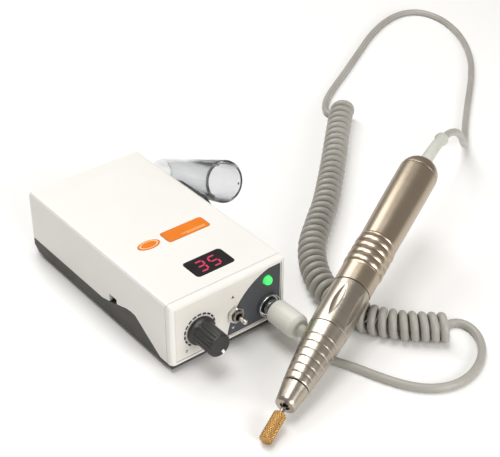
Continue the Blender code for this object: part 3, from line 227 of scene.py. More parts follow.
boot_start = NOSE + ALONG * (HAND_LENGTH - BOOT_SUNK) * MM
boot_path = [boot_start + ALONG * BOOT_LENGTH * MM * t - Vector((0, 0, BOOT_DROOP * MM * t * t))
             for t in (i / 12 for i in range(13))]
sleeve_low, sleeve_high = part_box("plug_sleeve")
plug_tail = (sleeve_low + sleeve_high) / 2
plug_tail.y = sleeve_low.y - PLUG_TAIL_GAP * MM
plug_boot_path = [plug_tail + Vector(point) * MM for point in PLUG_BOOT_ROUTE]

coil_line = smooth_path([on_desk(x, y, COIL_OUTER / 2) for x, y in COIL_ROUTE], 1.0 * MM)
turns = helix_points(coil_line, (COIL_OUTER - CORD_D) / 2 * MM, COIL_TURNS, COIL_OVERRUN * MM)
hand_route = boot_path[1:] + [on_desk(*place) for place in HAND_LEAD_ROUTE] + [turns[0]]
hand_lead = smooth_path(hand_route, 3.0 * MM)
plug_route = [turns[-1]] + [on_desk(*place) for place in PLUG_LEAD_ROUTE] + plug_boot_path[:1:-1]
plug_lead = smooth_path(plug_route, 2.5 * MM)
cord_points = hand_lead[:-1] + turns + plug_lead[1:]
cord_curve = bpy.data.curves.new("curly_cord", "CURVE")
cord_curve.dimensions = "3D"
cord_curve.bevel_depth = CORD_D / 2 * MM
cord_curve.bevel_resolution = 5
cord_curve.use_fill_caps = True
cord_spline = cord_curve.splines.new("POLY")
cord_spline.points.add(len(cord_points) - 1)
for knot, point in zip(cord_spline.points, cord_points):
    knot.co = (*point, 1.0)
curly_cord = bpy.data.objects.new("curly_cord", cord_curve)
bpy.context.scene.collection.objects.link(curly_cord)


def shader_group(name, inputs, outputs):
    """An empty node group with named inputs and outputs, and its two end nodes."""
    group = bpy.data.node_groups.new(name, "ShaderNodeTree")
    for label, kind, value in inputs:
        entry = group.interface.new_socket(name=label, in_out="INPUT", socket_type=f"NodeSocket{kind}")
        entry.default_value = value
    for label, kind in outputs:
        group.interface.new_socket(name=label, in_out="OUTPUT", socket_type=f"NodeSocket{kind}")
    return group, group.nodes.new("NodeGroupInput"), group.nodes.new("NodeGroupOutput")


def put(tree, kind, inputs=None, **settings):
    """A shader node with its settings, and with values or links at its inputs."""
    made = tree.nodes.new("ShaderNode" + kind)
    for key, value in settings.items():
        setattr(made, key, value)
    for key, value in (inputs or {}).items():
        if isinstance(value, bpy.types.NodeSocket):
            tree.links.new(value, made.inputs[key])
        else:
            made.inputs[key].default_value = value
    return made


def mix_colour(tree, share, first, second):
    """A colour between two others. The Mix node's colour sockets are numbered 6, 7 and 2."""
    mixed = put(tree, "Mix", {0: share, 6: first, 7: second}, data_type="RGBA")
    return mixed.outputs[2]


# Moulded surface: a cloudy change of shade, fine moulding grain and a patchy sheen.
moulded, enters, leaves = shader_group("moulded_surface", [
    ("Colour", "Color", (0.8, 0.8, 0.8, 1)), ("Shade", "Color", (0.6, 0.6, 0.6, 1)),
    ("Clouds", "Float", 60.0), ("Grain", "Float", 1500.0),
    ("Dull", "Float", 0.5), ("Sheen", "Float", 0.35)],
    [("Colour", "Color"), ("Roughness", "Float"), ("Height", "Float")])
where = put(moulded, "TexCoord")
clouds = put(moulded, "TexNoise", {"Vector": where.outputs["Object"], "Scale": enters.outputs["Clouds"],
                                   "Detail": 5.0, "Roughness": 0.55})
cloud_share = put(moulded, "MapRange", {"Value": clouds.outputs[0], "From Min": 0.35, "From Max": 0.75})
grain = put(moulded, "TexNoise", {"Vector": where.outputs["Object"], "Scale": enters.outputs["Grain"],
                                  "Detail": 3.0})
sheen_share = put(moulded, "MapRange", {"Value": clouds.outputs[0], "From Min": 0.3, "From Max": 0.7,
                                        "To Min": enters.outputs["Sheen"], "To Max": enters.outputs["Dull"]})
moulded.links.new(mix_colour(moulded, cloud_share.outputs[0], enters.outputs["Colour"],
                             enters.outputs["Shade"]), leaves.inputs["Colour"])
moulded.links.new(sheen_share.outputs[0], leaves.inputs["Roughness"])
moulded.links.new(grain.outputs[0], leaves.inputs["Height"])


def surface(name, group, relief, shader=None, **look_of):
    """A material whose colour, roughness and relief, in millimetres, come from a group."""
    material = bpy.data.materials.new(name)
    material.use_nodes = True
    tree = material.node_tree
    skin = tree.nodes["Principled BSDF"]
    source = tree.nodes.new("ShaderNodeGroup")
    source.node_tree = group
    for key, value in look_of.items():
        entry = source.inputs[key.capitalize()]
        entry.default_value = (*value, 1.0) if isinstance(value, tuple) else value
    tree.links.new(source.outputs["Colour"], skin.inputs["Base Color"])
    tree.links.new(source.outputs["Roughness"], skin.inputs["Roughness"])
    if relief:
        bump = put(tree, "Bump", {"Height": source.outputs["Height"], "Distance": relief * MM,
                                  "Strength": 0.6})
        tree.links.new(bump.outputs[0], skin.inputs["Normal"])
    for key, value in (shader or {}).items():
        skin.inputs[key].default_value = value
    return material


def fit_out(piece, body, slot, material, *nodes):
    """Give a piece its finish, and seat it on its body in place of the CAD nodes it stands for."""
    piece.data.materials.clear()
    piece.data.materials.append(material)
    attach(piece, body)
    if nodes:
        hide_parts(*nodes)


def keep_nodes(material, *names):
    """CAD nodes whose own shape is shown take this finish."""
    for name in names:
        frame["nodes"][name].data.materials.clear()
        frame["nodes"][name].data.materials.append(material)


cord_finish = surface("soft_grey_pvc", moulded, 0.03,
    colour=(0.40, 0.385, 0.345), shade=(0.33, 0.315, 0.28), clouds=45, grain=2600,
    dull=0.50, sheen=0.36, shader={"Coat Weight": 0.15, "Coat Roughness": 0.3})
fit_out(curly_cord, "base", "cord_grey", cord_finish, "cord_coil", "cord_to_handpiece", "cord_to_plug")


# ------------------------------ boots and plug
# The strain-relief boots are soft ivory PVC moulded on to the cord. The plug is a turned
# steel contact in a smooth ivory sleeve with a rounded front edge and a tapered tail.
BOOT_R = (3.5, 2.9)
COLLAR_R = 3.8
COLLAR_L = 2.1
PLUG_BOOT_R = (2.9, 2.4)
GRIP_SLEEVE_R = 6.4
GRIP_NOSE_R, GRIP_NOSE_L = 4.8, 2.5


def mesh_piece(name, bm, place=None, sharp=32.0):
    """A smooth-shaded object from a bmesh, placed by a matrix."""
    bmesh.ops.recalc_face_normals(bm, faces=bm.faces)
    mesh = bpy.data.meshes.new(name)
    bm.to_mesh(mesh)
    bm.free()
    mesh.shade_smooth()
    mesh.set_sharp_from_angle(angle=math.radians(sharp))
    piece = bpy.data.objects.new(name, mesh)
    bpy.context.scene.collection.objects.link(piece)
    if place is not None:
        piece.matrix_world = place
    return piece


def swept(path, radii, sides=32):
    """A round body with closed ends along a path, with a radius at each point."""
    bm = bmesh.new()
    rings = []
    across = None
    for i, point in enumerate(path):
        way = (path[min(i + 1, len(path) - 1)] - path[max(i - 1, 0)]).normalized()
        across = across or way.orthogonal()
        across = (across - way * across.dot(way)).normalized()
        other = way.cross(across)
        outward = [math.cos(t) * across + math.sin(t) * other
                   for t in (2 * math.pi * k / sides for k in range(sides))]
        rings.append([bm.verts.new(point + radii[i] * MM * out) for out in outward])
    for ring, following in zip(rings, rings[1:]):
        for k in range(sides):
            m = (k + 1) % sides
            bm.faces.new((ring[k], ring[m], following[m], following[k]))
    bm.faces.new(rings[0])
    bm.faces.new(rings[-1])
    return bm


def softened(corners, radius, steps=4):
    """Round the corners of a profile, whose points are (radius, height) in millimetres."""
    points = [corners[0]]
    for before, corner, after in zip(corners, corners[1:], corners[2:]):
        b, c, a = Vector(before), Vector(corner), Vector(after)
        back, on = b - c, a - c
        cut = min(radius, 0.45 * back.length, 0.45 * on.length)
        start, end = c + back.normalized() * cut, c + on.normalized() * cut
        for i in range(steps + 1):
            t = i / steps
            points.append(tuple(start.lerp(c, t).lerp(c.lerp(end, t), t)))
    points.append(corners[-1])
    return points


def lathe(profile, segments=72, shape=None):
    """Turn a profile of (radius, height) in millimetres about +Z. shape can change a radius."""
    bm = bmesh.new()
    rings = []
    for radius, height in profile:
        if radius < 1e-6:
            rings.append([bm.verts.new((0, 0, height * MM))])
            continue
        ring = []
        for k in range(segments):
            angle = 2 * math.pi * k / segments
            r = (shape(radius, height, angle) if shape else radius) * MM
            ring.append(bm.verts.new((r * math.cos(angle), r * math.sin(angle), height * MM)))
        rings.append(ring)
    for low, high in zip(rings, rings[1:]):
        for k in range(segments):
            m = (k + 1) % segments
            face = [low[k % len(low)], low[m % len(low)], high[m % len(high)], high[k % len(high)]]
            face = list(dict.fromkeys(face))
            if len(face) > 2:
                bm.faces.new(face)
    return bm


collar_path = smooth_path(boot_path, 0.5 * MM)
collar_count = len(collar_path)
collar_radii = []
for i in range(collar_count):
    left_to_go = (1 - i / (collar_count - 1)) * BOOT_LENGTH
    radius = BOOT_R[0] + (BOOT_R[1] - BOOT_R[0]) * i / (collar_count - 1)
    if left_to_go < COLLAR_L:
        radius = COLLAR_R - 0.5 * max(0.0, 0.8 - left_to_go) ** 2
    collar_radii.append(radius)
hand_boot = mesh_piece("handpiece_cord_boot", swept(collar_path, collar_radii), sharp=50.0)

tail_path = smooth_path(plug_boot_path, 0.5 * MM)
tail_radii = [PLUG_BOOT_R[0] + (PLUG_BOOT_R[1] - PLUG_BOOT_R[0]) * i / (len(tail_path) - 1)
              for i in range(len(tail_path))]
plug_tail_boot = mesh_piece("plug_cord_boot", swept(tail_path, tail_radii), sharp=50.0)

ring_low, ring_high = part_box("socket_ring")
socket = (ring_low + ring_high) / 2
socket.y = ring_high.y
PANEL_OUT = Matrix.Rotation(math.radians(90), 4, "X")     # turns +Z to face out of the front panel
grip_length = (sleeve_high.y - sleeve_low.y) / MM
grip_profile = [(0, 0), (GRIP_SLEEVE_R, 0), (GRIP_SLEEVE_R, grip_length - GRIP_NOSE_L),
                (GRIP_NOSE_R, grip_length), (0, grip_length)]
grip_place = Matrix.Translation((socket.x, sleeve_high.y, socket.z)) @ PANEL_OUT
plug_grip = mesh_piece("plug_grip_sleeve", lathe(softened(grip_profile, 0.7, 5)), grip_place, sharp=50.0)

ivory = surface("ivory_pvc", moulded, 0.02,
    colour=(0.76, 0.76, 0.70), shade=(0.66, 0.66, 0.60), clouds=70, grain=2200,
    dull=0.48, sheen=0.34, shader={"Subsurface Weight": 0.12, "Subsurface Scale": 0.004})
boot_ivory = surface("grey_ivory_pvc", moulded, 0.02,
    colour=(0.60, 0.60, 0.54), shade=(0.50, 0.50, 0.44), clouds=80, grain=2200,
    dull=0.52, sheen=0.40)
fit_out(hand_boot, "base", "plug_ivory", boot_ivory, "handpiece_boot")
fit_out(plug_tail_boot, "base", "plug_ivory", boot_ivory, "plug_boot")
fit_out(plug_grip, "base", "plug_ivory", ivory, "plug_sleeve")


# ------------------------------ white case and front bezel
# The upper cover and the front bezel are injection-moulded ABS, sprayed with a warm white
# satin lacquer. The bezel is pushed on the cover's front edge and shows a fine joint.
white_lacquer = surface("warm_white_lacquer", moulded, 0.012,
    colour=(0.84, 0.825, 0.785), shade=(0.79, 0.77, 0.72), clouds=14, grain=1800,
    dull=0.40, sheen=0.30, shader={"Coat Weight": 0.2, "Coat Roughness": 0.25})
keep_nodes(white_lacquer, "upper_cover", "front_bezel")


# ------------------------------ base tray, feet and screws
# The tray is dark brown-grey ABS with a spark-eroded grain. Four rubber feet are glued under
# it, and four pan-head screws go up through it into the cover's posts.
tray_plastic = surface("dark_tray_plastic", moulded, 0.06,
    colour=(0.062, 0.058, 0.048), shade=(0.045, 0.042, 0.035), clouds=40, grain=1400,
    dull=0.62, sheen=0.46)
keep_nodes(tray_plastic, "base_tray", "rear_panel")
rubber = surface("foot_rubber", moulded, 0.05,
    colour=(0.022, 0.022, 0.022), shade=(0.035, 0.034, 0.032), clouds=160, grain=1800,
    dull=0.92, sheen=0.78)
keep_nodes(rubber, *(f"foot_{row}_{side}" for row in ("front", "rear") for side in ("left", "right")))
bright_steel = surface("zinc_plated_steel", moulded, 0.015,
    colour=(0.62, 0.61, 0.58), shade=(0.48, 0.47, 0.45), clouds=300, grain=2500,
    dull=0.40, sheen=0.24, shader={"Metallic": 1.0})
keep_nodes(bright_steel, *(f"case_screw_{i}" for i in range(1, 5)))


# ------------------------------ front panel and its print
# The panel is an off-white plate with a grey inlay let into it. Round the knob runs a printed
# scale of black dashes, and two small arrows mark the toggle's two directions.
panel_white = surface("panel_white", moulded, 0.012,
    colour=(0.80, 0.77, 0.715), shade=(0.74, 0.71, 0.65), clouds=30, grain=2000,
    dull=0.50, sheen=0.40)
keep_nodes(panel_white, "front_panel")
inlay_grey = surface("inlay_grey", moulded, 0.03,
    colour=(0.070, 0.076, 0.084), shade=(0.055, 0.060, 0.066), clouds=50, grain=1600,
    dull=0.55, sheen=0.42)
keep_nodes(inlay_grey, "panel_inlay")

panel_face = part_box("front_panel")[0].y
inlay_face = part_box("panel_inlay")[0].y
knob = next(joint for joint in frame["joints"] if joint["name"] == "speed_turn")
toggle = next(joint for joint in frame["joints"] if joint["name"] == "direction_flip")
KNOB_AT = Vector(knob["pos_m"])
TOGGLE_AT = Vector(toggle["pos_m"])
PRINT_FROM, PRINT_TO = 0.01, 0.05     # the ink's two faces, off the panel
SCALE_R = (8.35, 9.35)
SCALE_MARKS = 15
MARK_SPAN = math.radians(14.5)
MARK_PITCH = math.radians(19.3)
ZERO_R = (0.36, 0.6)
ZERO_TALL = 1.35
ZERO_AT = (-8.0, -9.4)
ARROW_LEFT = 1.0
ARROW_UP, ARROW_DOWN = 10.6, -8.3


def sector(bm, inner, outer, start, stop, low, high, steps=5):
    """A thin piece of a ring, from one angle to another."""
    rows = []
    for i in range(steps + 1):
        angle = start + (stop - start) * i / steps
        rows.append([bm.verts.new((r * MM * math.cos(angle), r * MM * math.sin(angle), h * MM))
                     for r, h in ((inner, low), (outer, low), (outer, high), (inner, high))])
    for a, b in zip(rows, rows[1:]):
        for k in range(4):
            m = (k + 1) % 4
            bm.faces.new((a[k], a[m], b[m], b[k]))
    bm.faces.new(rows[0])
    bm.faces.new(rows[-1])


def rectangle(left, bottom, right, top):
    return [(left, bottom), (right, bottom), (right, top), (left, top)]


def slab(bm, outline, low, high):
    """A flat outline in millimetres, given a thickness."""
    rings = [[bm.verts.new((x * MM, y * MM, z * MM)) for x, y in outline] for z in (low, high)]
    bm.faces.new(rings[0])
    bm.faces.new(rings[1])
    for k in range(len(outline)):
        m = (k + 1) % len(outline)
        bm.faces.new((rings[0][k], rings[0][m], rings[1][m], rings[1][k]))


scale_bm, zero_bm = bmesh.new(), bmesh.new()
for i in range(SCALE_MARKS):
    middle = math.radians(90) + (i - (SCALE_MARKS - 1) / 2) * MARK_PITCH
    sector(scale_bm, *SCALE_R, middle - MARK_SPAN / 2, middle + MARK_SPAN / 2, PRINT_FROM, PRINT_TO)
for half_turn in range(2):
    sector(zero_bm, *ZERO_R, math.pi * half_turn + 0.05, math.pi * (half_turn + 1) - 0.05,
           PRINT_FROM, PRINT_TO, 8)
for vert in zero_bm.verts:
    vert.co.y *= ZERO_TALL
on_panel = Matrix.Translation((KNOB_AT.x, panel_face, KNOB_AT.z)) @ PANEL_OUT
zero_place = on_panel @ Matrix.Translation((ZERO_AT[0] * MM, ZERO_AT[1] * MM, 0))
scale_zero = mesh_piece("printed_scale_zero", zero_bm, zero_place)
speed_scale = mesh_piece("printed_speed_scale", scale_bm, on_panel)
black_ink = surface("black_ink", moulded, 0.005,
    colour=(0.012, 0.012, 0.012), shade=(0.03, 0.03, 0.03), clouds=200, grain=3000,
    dull=0.6, sheen=0.45)
white_ink = surface("white_ink", moulded, 0.005,
    colour=(0.62, 0.62, 0.62), shade=(0.45, 0.45, 0.45), clouds=300, grain=3000,
    dull=0.6, sheen=0.5)
fit_out(speed_scale, "base", "black_plastic", black_ink)
fit_out(scale_zero, "base", "black_plastic", black_ink)
for name, rise, face, way, slot, ink in (
        ("arrow_forward", ARROW_UP, panel_face, 1, "black_plastic", black_ink),
        ("arrow_reverse", ARROW_DOWN, inlay_face, -1, "white_mark", white_ink)):
    arrow_bm = bmesh.new()
    slab(arrow_bm, [(-0.9, -0.7 * way), (0.9, -0.7 * way), (0.0, 0.9 * way)], PRINT_FROM, PRINT_TO)
    arrow_at = Matrix.Translation((TOGGLE_AT.x - ARROW_LEFT * MM, face, TOGGLE_AT.z + rise * MM))
    fit_out(mesh_piece(f"printed_{name}", arrow_bm, arrow_at @ PANEL_OUT), "base", slot, ink)


# ------------------------------ display
# A smoked acrylic pane lies flush in the cover over a two-digit LED module. Each digit is made
# of seven bars, and a lit bar glows dull red through the smoke.
DIGIT_H = 7.6
DIGIT_W = 4.4
BAR_T = 1.05
BAR_GAP = 0.25
DIGIT_PITCH = 7.6
DIGIT_LEAN = math.tan(math.radians(8.0))
DIGITS_AT = (-0.6, -0.2)
FOIL_FROM, FOIL_TO = 0.005, 0.04      # a thin layer's two faces, over the face it lies on
LIT_BARS = {"3": "abcdg", "5": "acdfg"}


def on_top_of(node):
    """The middle of a CAD node's upper face."""
    low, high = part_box(node)
    return Matrix.Translation(((low.x + high.x) / 2, (low.y + high.y) / 2, high.z))


def digit_bars(bm, lit, centre_x):
    """The lit bars of one seven-bar digit, each a long hexagon, leaning to the right."""
    half_w, half_h = DIGIT_W / 2, DIGIT_H / 2
    ends = {"a": ((-half_w, half_h), (half_w, half_h)), "g": ((-half_w, 0), (half_w, 0)),
            "d": ((-half_w, -half_h), (half_w, -half_h)), "b": ((half_w, 0), (half_w, half_h)),
            "c": ((half_w, -half_h), (half_w, 0)), "f": ((-half_w, 0), (-half_w, half_h)),
            "e": ((-half_w, -half_h), (-half_w, 0))}
    for bar in lit:
        a, b = (Vector(p) for p in ends[bar])
        way = (b - a).normalized()
        side = Vector((-way.y, way.x)) * BAR_T / 2
        a, b = a + way * BAR_GAP, b - way * BAR_GAP
        tip = way * BAR_T / 2
        outline = [a, a + tip - side, b - tip - side, b, b - tip + side, a + tip + side]
        slab(bm, [(centre_x + p.x + p.y * DIGIT_LEAN, p.y) for p in outline], FOIL_FROM, FOIL_TO)


digits_bm = bmesh.new()
for i, digit in enumerate("35"):
    digit_bars(digits_bm, LIT_BARS[digit], (i - 0.5) * DIGIT_PITCH)
digits_place = on_top_of("display_window") @ Matrix.Translation((*(a * MM for a in DIGITS_AT), 0))
digits = mesh_piece("display_digits", digits_bm, digits_place)
digit_glow = surface("digit_red", moulded, 0.004,
    colour=(0.45, 0.02, 0.07), shade=(0.36, 0.015, 0.05), clouds=900, grain=4000,
    dull=0.4, sheen=0.25, shader={"Emission Color": (0.85, 0.05, 0.16, 1), "Emission Strength": 0.3})
fit_out(digits, "base", "digit_red", digit_glow)
smoked = surface("smoked_acrylic", moulded, 0.002,
    colour=(0.010, 0.009, 0.011), shade=(0.016, 0.014, 0.016), clouds=120, grain=900,
    dull=0.16, sheen=0.08, shader={"Specular IOR Level": 0.4})
keep_nodes(smoked, "display_window")


# ------------------------------ badges
# Two orange foil badges are let into the cover: a plain bar with two fine pale lines, and a
# small oval with a pale border line. Neither carries any lettering.
orange_foil = surface("orange_foil", moulded, 0.01,
    colour=(0.80, 0.20, 0.004), shade=(0.72, 0.17, 0.003), clouds=90, grain=2500,
    dull=0.5, sheen=0.36, shader={"Specular IOR Level": 0.25})
keep_nodes(orange_foil, "badge_bar", "badge_oval")
pale_foil = surface("pale_foil", moulded, 0.005,
    colour=(0.95, 0.62, 0.30), shade=(0.88, 0.52, 0.22), clouds=200, grain=3000,
    dull=0.4, sheen=0.3)
BAR_LINE_W = 0.35
BAR_LINE_END = 10.4
BAR_LINE_STARTS = ((-4.0, -2.4), (-1.0, -3.3))
OVAL_LINE = (0.72, 0.86)              # its two edges, as shares of the oval


lines_bm = bmesh.new()
for from_x, from_y in BAR_LINE_STARTS:
    slab(lines_bm, rectangle(from_x, from_y, BAR_LINE_END, from_y + BAR_LINE_W), FOIL_FROM, FOIL_TO)
bar_lines = mesh_piece("badge_bar_lines", lines_bm, on_top_of("badge_bar"))
fit_out(bar_lines, "base", "white_mark", pale_foil)
oval_low, oval_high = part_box("badge_oval")
border_bm = bmesh.new()
for half_turn in range(2):
    sector(border_bm, *OVAL_LINE, math.pi * half_turn + 0.03, math.pi * (half_turn + 1) - 0.03,
           FOIL_FROM, FOIL_TO, 18)
for vert in border_bm.verts:
    vert.co.x *= (oval_high.x - oval_low.x) / 2 / MM
    vert.co.y *= (oval_high.y - oval_low.y) / 2 / MM
oval_line = mesh_piece("badge_oval_line", border_bm, on_top_of("badge_oval"))
fit_out(oval_line, "base", "white_mark", pale_foil)


# ------------------------------ speed knob
# A black thermoplastic knob with a round skirt and a fluted barrel is pressed on the shaft.
# A white line is let into its end, and a hexagon nut holds the potentiometer behind it.
KNOB_L = 16.0
KNOB_OFF = 0.5
SKIRT_R = 7.8
BARREL_R = 6.2
BARREL_FROM = KNOB_OFF + 2.6
FLUTES = 16
FLUTE_DEPTH = 0.42
POINTER_FROM, POINTER_TO = 3.3, 5.5
POINTER_HALF_W = 0.75
POINTER_ANGLE = math.radians(-65)


def fluted(radius, height, angle):
    """The knob's radius with its flutes, which fade out towards both ends of the barrel."""
    if not BARREL_FROM < height < KNOB_L - 0.5 or radius < BARREL_R - 0.9:
        return radius
    ease = min(1.0, (height - BARREL_FROM) / 1.2, (KNOB_L - 0.4 - height) / 0.5)
    return radius - FLUTE_DEPTH * ease * (0.5 + 0.5 * math.cos(FLUTES * angle)) ** 1.6


knob_profile = softened([(0, KNOB_OFF + 0.2), (5.6, KNOB_OFF + 0.2), (5.6, KNOB_OFF), (SKIRT_R, KNOB_OFF),
                         (SKIRT_R, KNOB_OFF + 1.5), (BARREL_R + 0.6, KNOB_OFF + 2.1)], 0.4)
knob_profile += [(BARREL_R, BARREL_FROM + 0.9 * i) for i in range(12)]
knob_profile += [(BARREL_R - inset, KNOB_L - below) for inset, below in (
    (0.05, 0.9), (0.15, 0.45), (0.45, 0.12), (0.8, 0), (1.4, 0), (1.5, 0.12))]
knob_profile += [(1.0, KNOB_L - 0.12), (0, KNOB_L - 0.12)]
knob_place = Matrix.Translation(KNOB_AT) @ PANEL_OUT
knob_body = mesh_piece("fluted_knob", lathe(knob_profile, 192, fluted), knob_place, sharp=40.0)
knob_black = surface("knob_black", moulded, 0.02,
    colour=(0.023, 0.023, 0.022), shade=(0.017, 0.017, 0.016), clouds=90, grain=1700,
    dull=0.46, sheen=0.32)
fit_out(knob_body, "knob", "black_plastic", knob_black, "speed_knob")
pointer_bm = bmesh.new()
slab(pointer_bm, rectangle(POINTER_FROM, -POINTER_HALF_W, POINTER_TO, POINTER_HALF_W),
     KNOB_L - 0.6, KNOB_L + 0.06)
pointer = mesh_piece("knob_white_line", pointer_bm,
                     knob_place @ Matrix.Rotation(POINTER_ANGLE, 4, "Z"))
pointer_white = surface("pointer_white", moulded, 0.005,
    colour=(0.88, 0.88, 0.86), shade=(0.8, 0.8, 0.78), clouds=300, grain=3000,
    dull=0.5, sheen=0.4)
fit_out(pointer, "knob", "white_mark", pointer_white, "knob_pointer")
keep_nodes(bright_steel, "potentiometer_nut", "potentiometer_shaft", "speed_potentiometer")


# ------------------------------ direction toggle
# A nickel-plated hexagon nut clamps the miniature toggle switch to the panel. The switch's
# round-ended steel bat swings about a ball inside the bush.
NUT_FLATS = 8.0
NUT_FROM, NUT_TO = 0.45, 2.35         # clear of the inlay, which stands proud of the panel
NUT_BORE_R = 3.15
NUT_CORNER_R = 4.6
NUT_CHAMFER = 1.9


def hexagon(flats, low, high, chamfer):
    """A nut as a turned body whose radius follows a hexagon and a chamfering cone."""
    def shape(radius, height, angle):
        if radius < flats / 2 - 0.4:
            return radius
        to_flat = (angle + math.radians(30)) % math.radians(60) - math.radians(30)
        edge = flats / 2 / math.cos(to_flat)
        near_end = min(height - low, high - height)
        return min(edge, flats / 2 + 0.12 + near_end * chamfer)
    return shape


nut_rings = [(NUT_BORE_R, NUT_FROM)]
nut_rings += [(NUT_CORNER_R, height) for height in (NUT_FROM, 0.62, 0.85, 1.4, 1.95, 2.18, NUT_TO)]
nut_rings += [(NUT_BORE_R + 0.15, NUT_TO), (NUT_BORE_R, NUT_TO - 0.15), (NUT_BORE_R, NUT_FROM)]
nut_shape = hexagon(NUT_FLATS, NUT_FROM, NUT_TO, NUT_CHAMFER)
toggle_face = Matrix.Translation((TOGGLE_AT.x, panel_face, TOGGLE_AT.z)) @ PANEL_OUT
hex_nut = mesh_piece("toggle_hexagon_nut", lathe(nut_rings, 144, nut_shape), toggle_face, sharp=25.0)
nickel = surface("nickel_plate", moulded, 0.004,
    colour=(0.74, 0.72, 0.69), shade=(0.66, 0.64, 0.61), clouds=150, grain=2600,
    dull=0.24, sheen=0.14, shader={"Metallic": 1.0})
fit_out(hex_nut, "base", "bright_metal", nickel, "toggle_nut")
bat = softened([(0, -1.4), (1.0, -1.0), (1.4, 0), (1.0, 1.0), (0.85, 2.1), (1.05, 4.5), (1.38, 6.9),
                (1.32, 7.8), (0.9, 8.25), (0, 8.3)], 0.8, 4)
bat_place = Matrix.Translation(TOGGLE_AT) @ PANEL_OUT
toggle_bat = mesh_piece("toggle_bat", lathe(bat, 48), bat_place, sharp=60.0)
fit_out(toggle_bat, "toggle", "bright_metal", nickel, "toggle_lever")
switch_black = surface("switch_black", moulded, 0.03,
    colour=(0.026, 0.026, 0.027), shade=(0.018, 0.018, 0.019), clouds=120, grain=1600,
    dull=0.55, sheen=0.4)
bush_metal = surface("switch_bush", moulded, 0.02,
    colour=(0.42, 0.40, 0.36), shade=(0.30, 0.28, 0.25), clouds=400, grain=2600,
    dull=0.4, sheen=0.25, shader={"Metallic": 1.0})
keep_nodes(bush_metal, "toggle_body")
keep_nodes(switch_black, "handpiece_socket", "power_inlet")


# ------------------------------ status lamp
# A 5 mm green LED stands in the inlay. Its epoxy body is lit through from the chip inside.
LED_R = 2.45
LED_BACK, LED_DOME_FROM, LED_TIP = -3.5, 0.6, 2.9
led_low, led_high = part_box("status_led")
lamp_place = Matrix.Translation(((led_low.x + led_high.x) / 2, panel_face,
                                 (led_low.z + led_high.z) / 2)) @ PANEL_OUT
lamp_profile = [(0, LED_BACK), (LED_R, LED_BACK), (LED_R, LED_DOME_FROM)]
lamp_profile += [(LED_R * math.cos(a), LED_DOME_FROM + (LED_TIP - LED_DOME_FROM) * math.sin(a))
                 for a in (math.radians(7.5 * i) for i in range(1, 12))]
lamp_profile += [(0, LED_TIP)]
lamp = mesh_piece("green_lamp_lens", lathe(lamp_profile, 64), lamp_place, sharp=60.0)
lamp_green = surface("lit_green_epoxy", moulded, 0.004,
    colour=(0.05, 0.72, 0.12), shade=(0.09, 0.85, 0.18), clouds=500, grain=2500,
    dull=0.25, sheen=0.12, shader={"Emission Color": (0.07, 0.85, 0.15, 1), "Emission Strength": 0.75})
fit_out(lamp, "base", "led_green", lamp_green, "status_led")


# ------------------------------ socket ring and plug contact
# A chromed ring nut with a dark polished face holds the socket in the panel. The plug's
# steel contact shows between the ring and the ivory sleeve.
RING_R, RING_BORE_R = 6.5, 4.9
ring_h = (ring_high.y - ring_low.y) / MM
ring_profile = softened([(RING_BORE_R, 0), (RING_R, 0), (RING_R, ring_h - 0.3), (RING_R - 0.3, ring_h),
                         (RING_R - 0.6, ring_h - 0.05), (RING_R - 0.9, ring_h - 0.8),
                         (RING_BORE_R, ring_h - 1.0)], 0.2) + [(RING_BORE_R, 0)]
ring_place = Matrix.Translation(socket) @ PANEL_OUT
chrome_ring = mesh_piece("socket_chrome_ring", lathe(ring_profile, 96), ring_place, sharp=40.0)
dark_chrome = surface("dark_chrome", moulded, 0.004,
    colour=(0.60, 0.61, 0.62), shade=(0.50, 0.51, 0.52), clouds=150, grain=2600,
    dull=0.22, sheen=0.12, shader={"Metallic": 1.0})
fit_out(chrome_ring, "base", "bright_metal", dark_chrome, "socket_ring")
keep_nodes(nickel, "plug_contact")


# ------------------------------ clear holder
# One moulding in clear polycarbonate: a tapered tube with a thick rim and three inner ribs,
# on a plate whose peg clips into the notch in the side of the case.
HOLDER_SLOPE = math.radians(22.3)
HOLDER_TOE = math.radians(-2.0)
HOLDER_L = 66.0
HOLDER_R = (11.5, 8.6)
HOLDER_WALL = 1.5
MOUTH_Y, MOUTH_Z = 1.5, 44.0
TUBE_OFF = 12.6                       # from the case's side to the tube's axis
PLATE_OFF, PLATE_T = 0.3, 2.0
PLATE_OUTLINE = [(-19.55, 10.6), (-19.55, 21.0), (4.0, 37.5), (26.0, 36.5), (58.0, 26.0), (58.0, 14.0),
                 (30.0, 10.6)]
WEB_SPAN = (8.0, 56.0)
PEG_OUTLINE = rectangle(-17.1, 14.0, -11.1, 15.9)
PEG_REACH = 3.0
INNER_RIB = rectangle(9.0, -0.6, 10.75, 0.6)
INNER_RIB_SPAN = (1.0, 15.0)
case_side = (tray_high.x - CASE_MIDDLE.x) / MM
mouth = on_desk(case_side + TUBE_OFF, MOUTH_Y, MOUTH_Z)
slope_way = Vector((-math.sin(HOLDER_TOE) * math.cos(HOLDER_SLOPE),
                    math.cos(HOLDER_TOE) * math.cos(HOLDER_SLOPE), -math.sin(HOLDER_SLOPE)))


def axis_place(origin, along):
    """A place whose +Z runs along an axis and whose +X is level."""
    across = along.cross(Vector((0, 0, 1))).normalized()
    turn = Matrix((across, along.cross(across), along)).transposed()
    return Matrix.Translation(origin) @ turn.to_4x4()


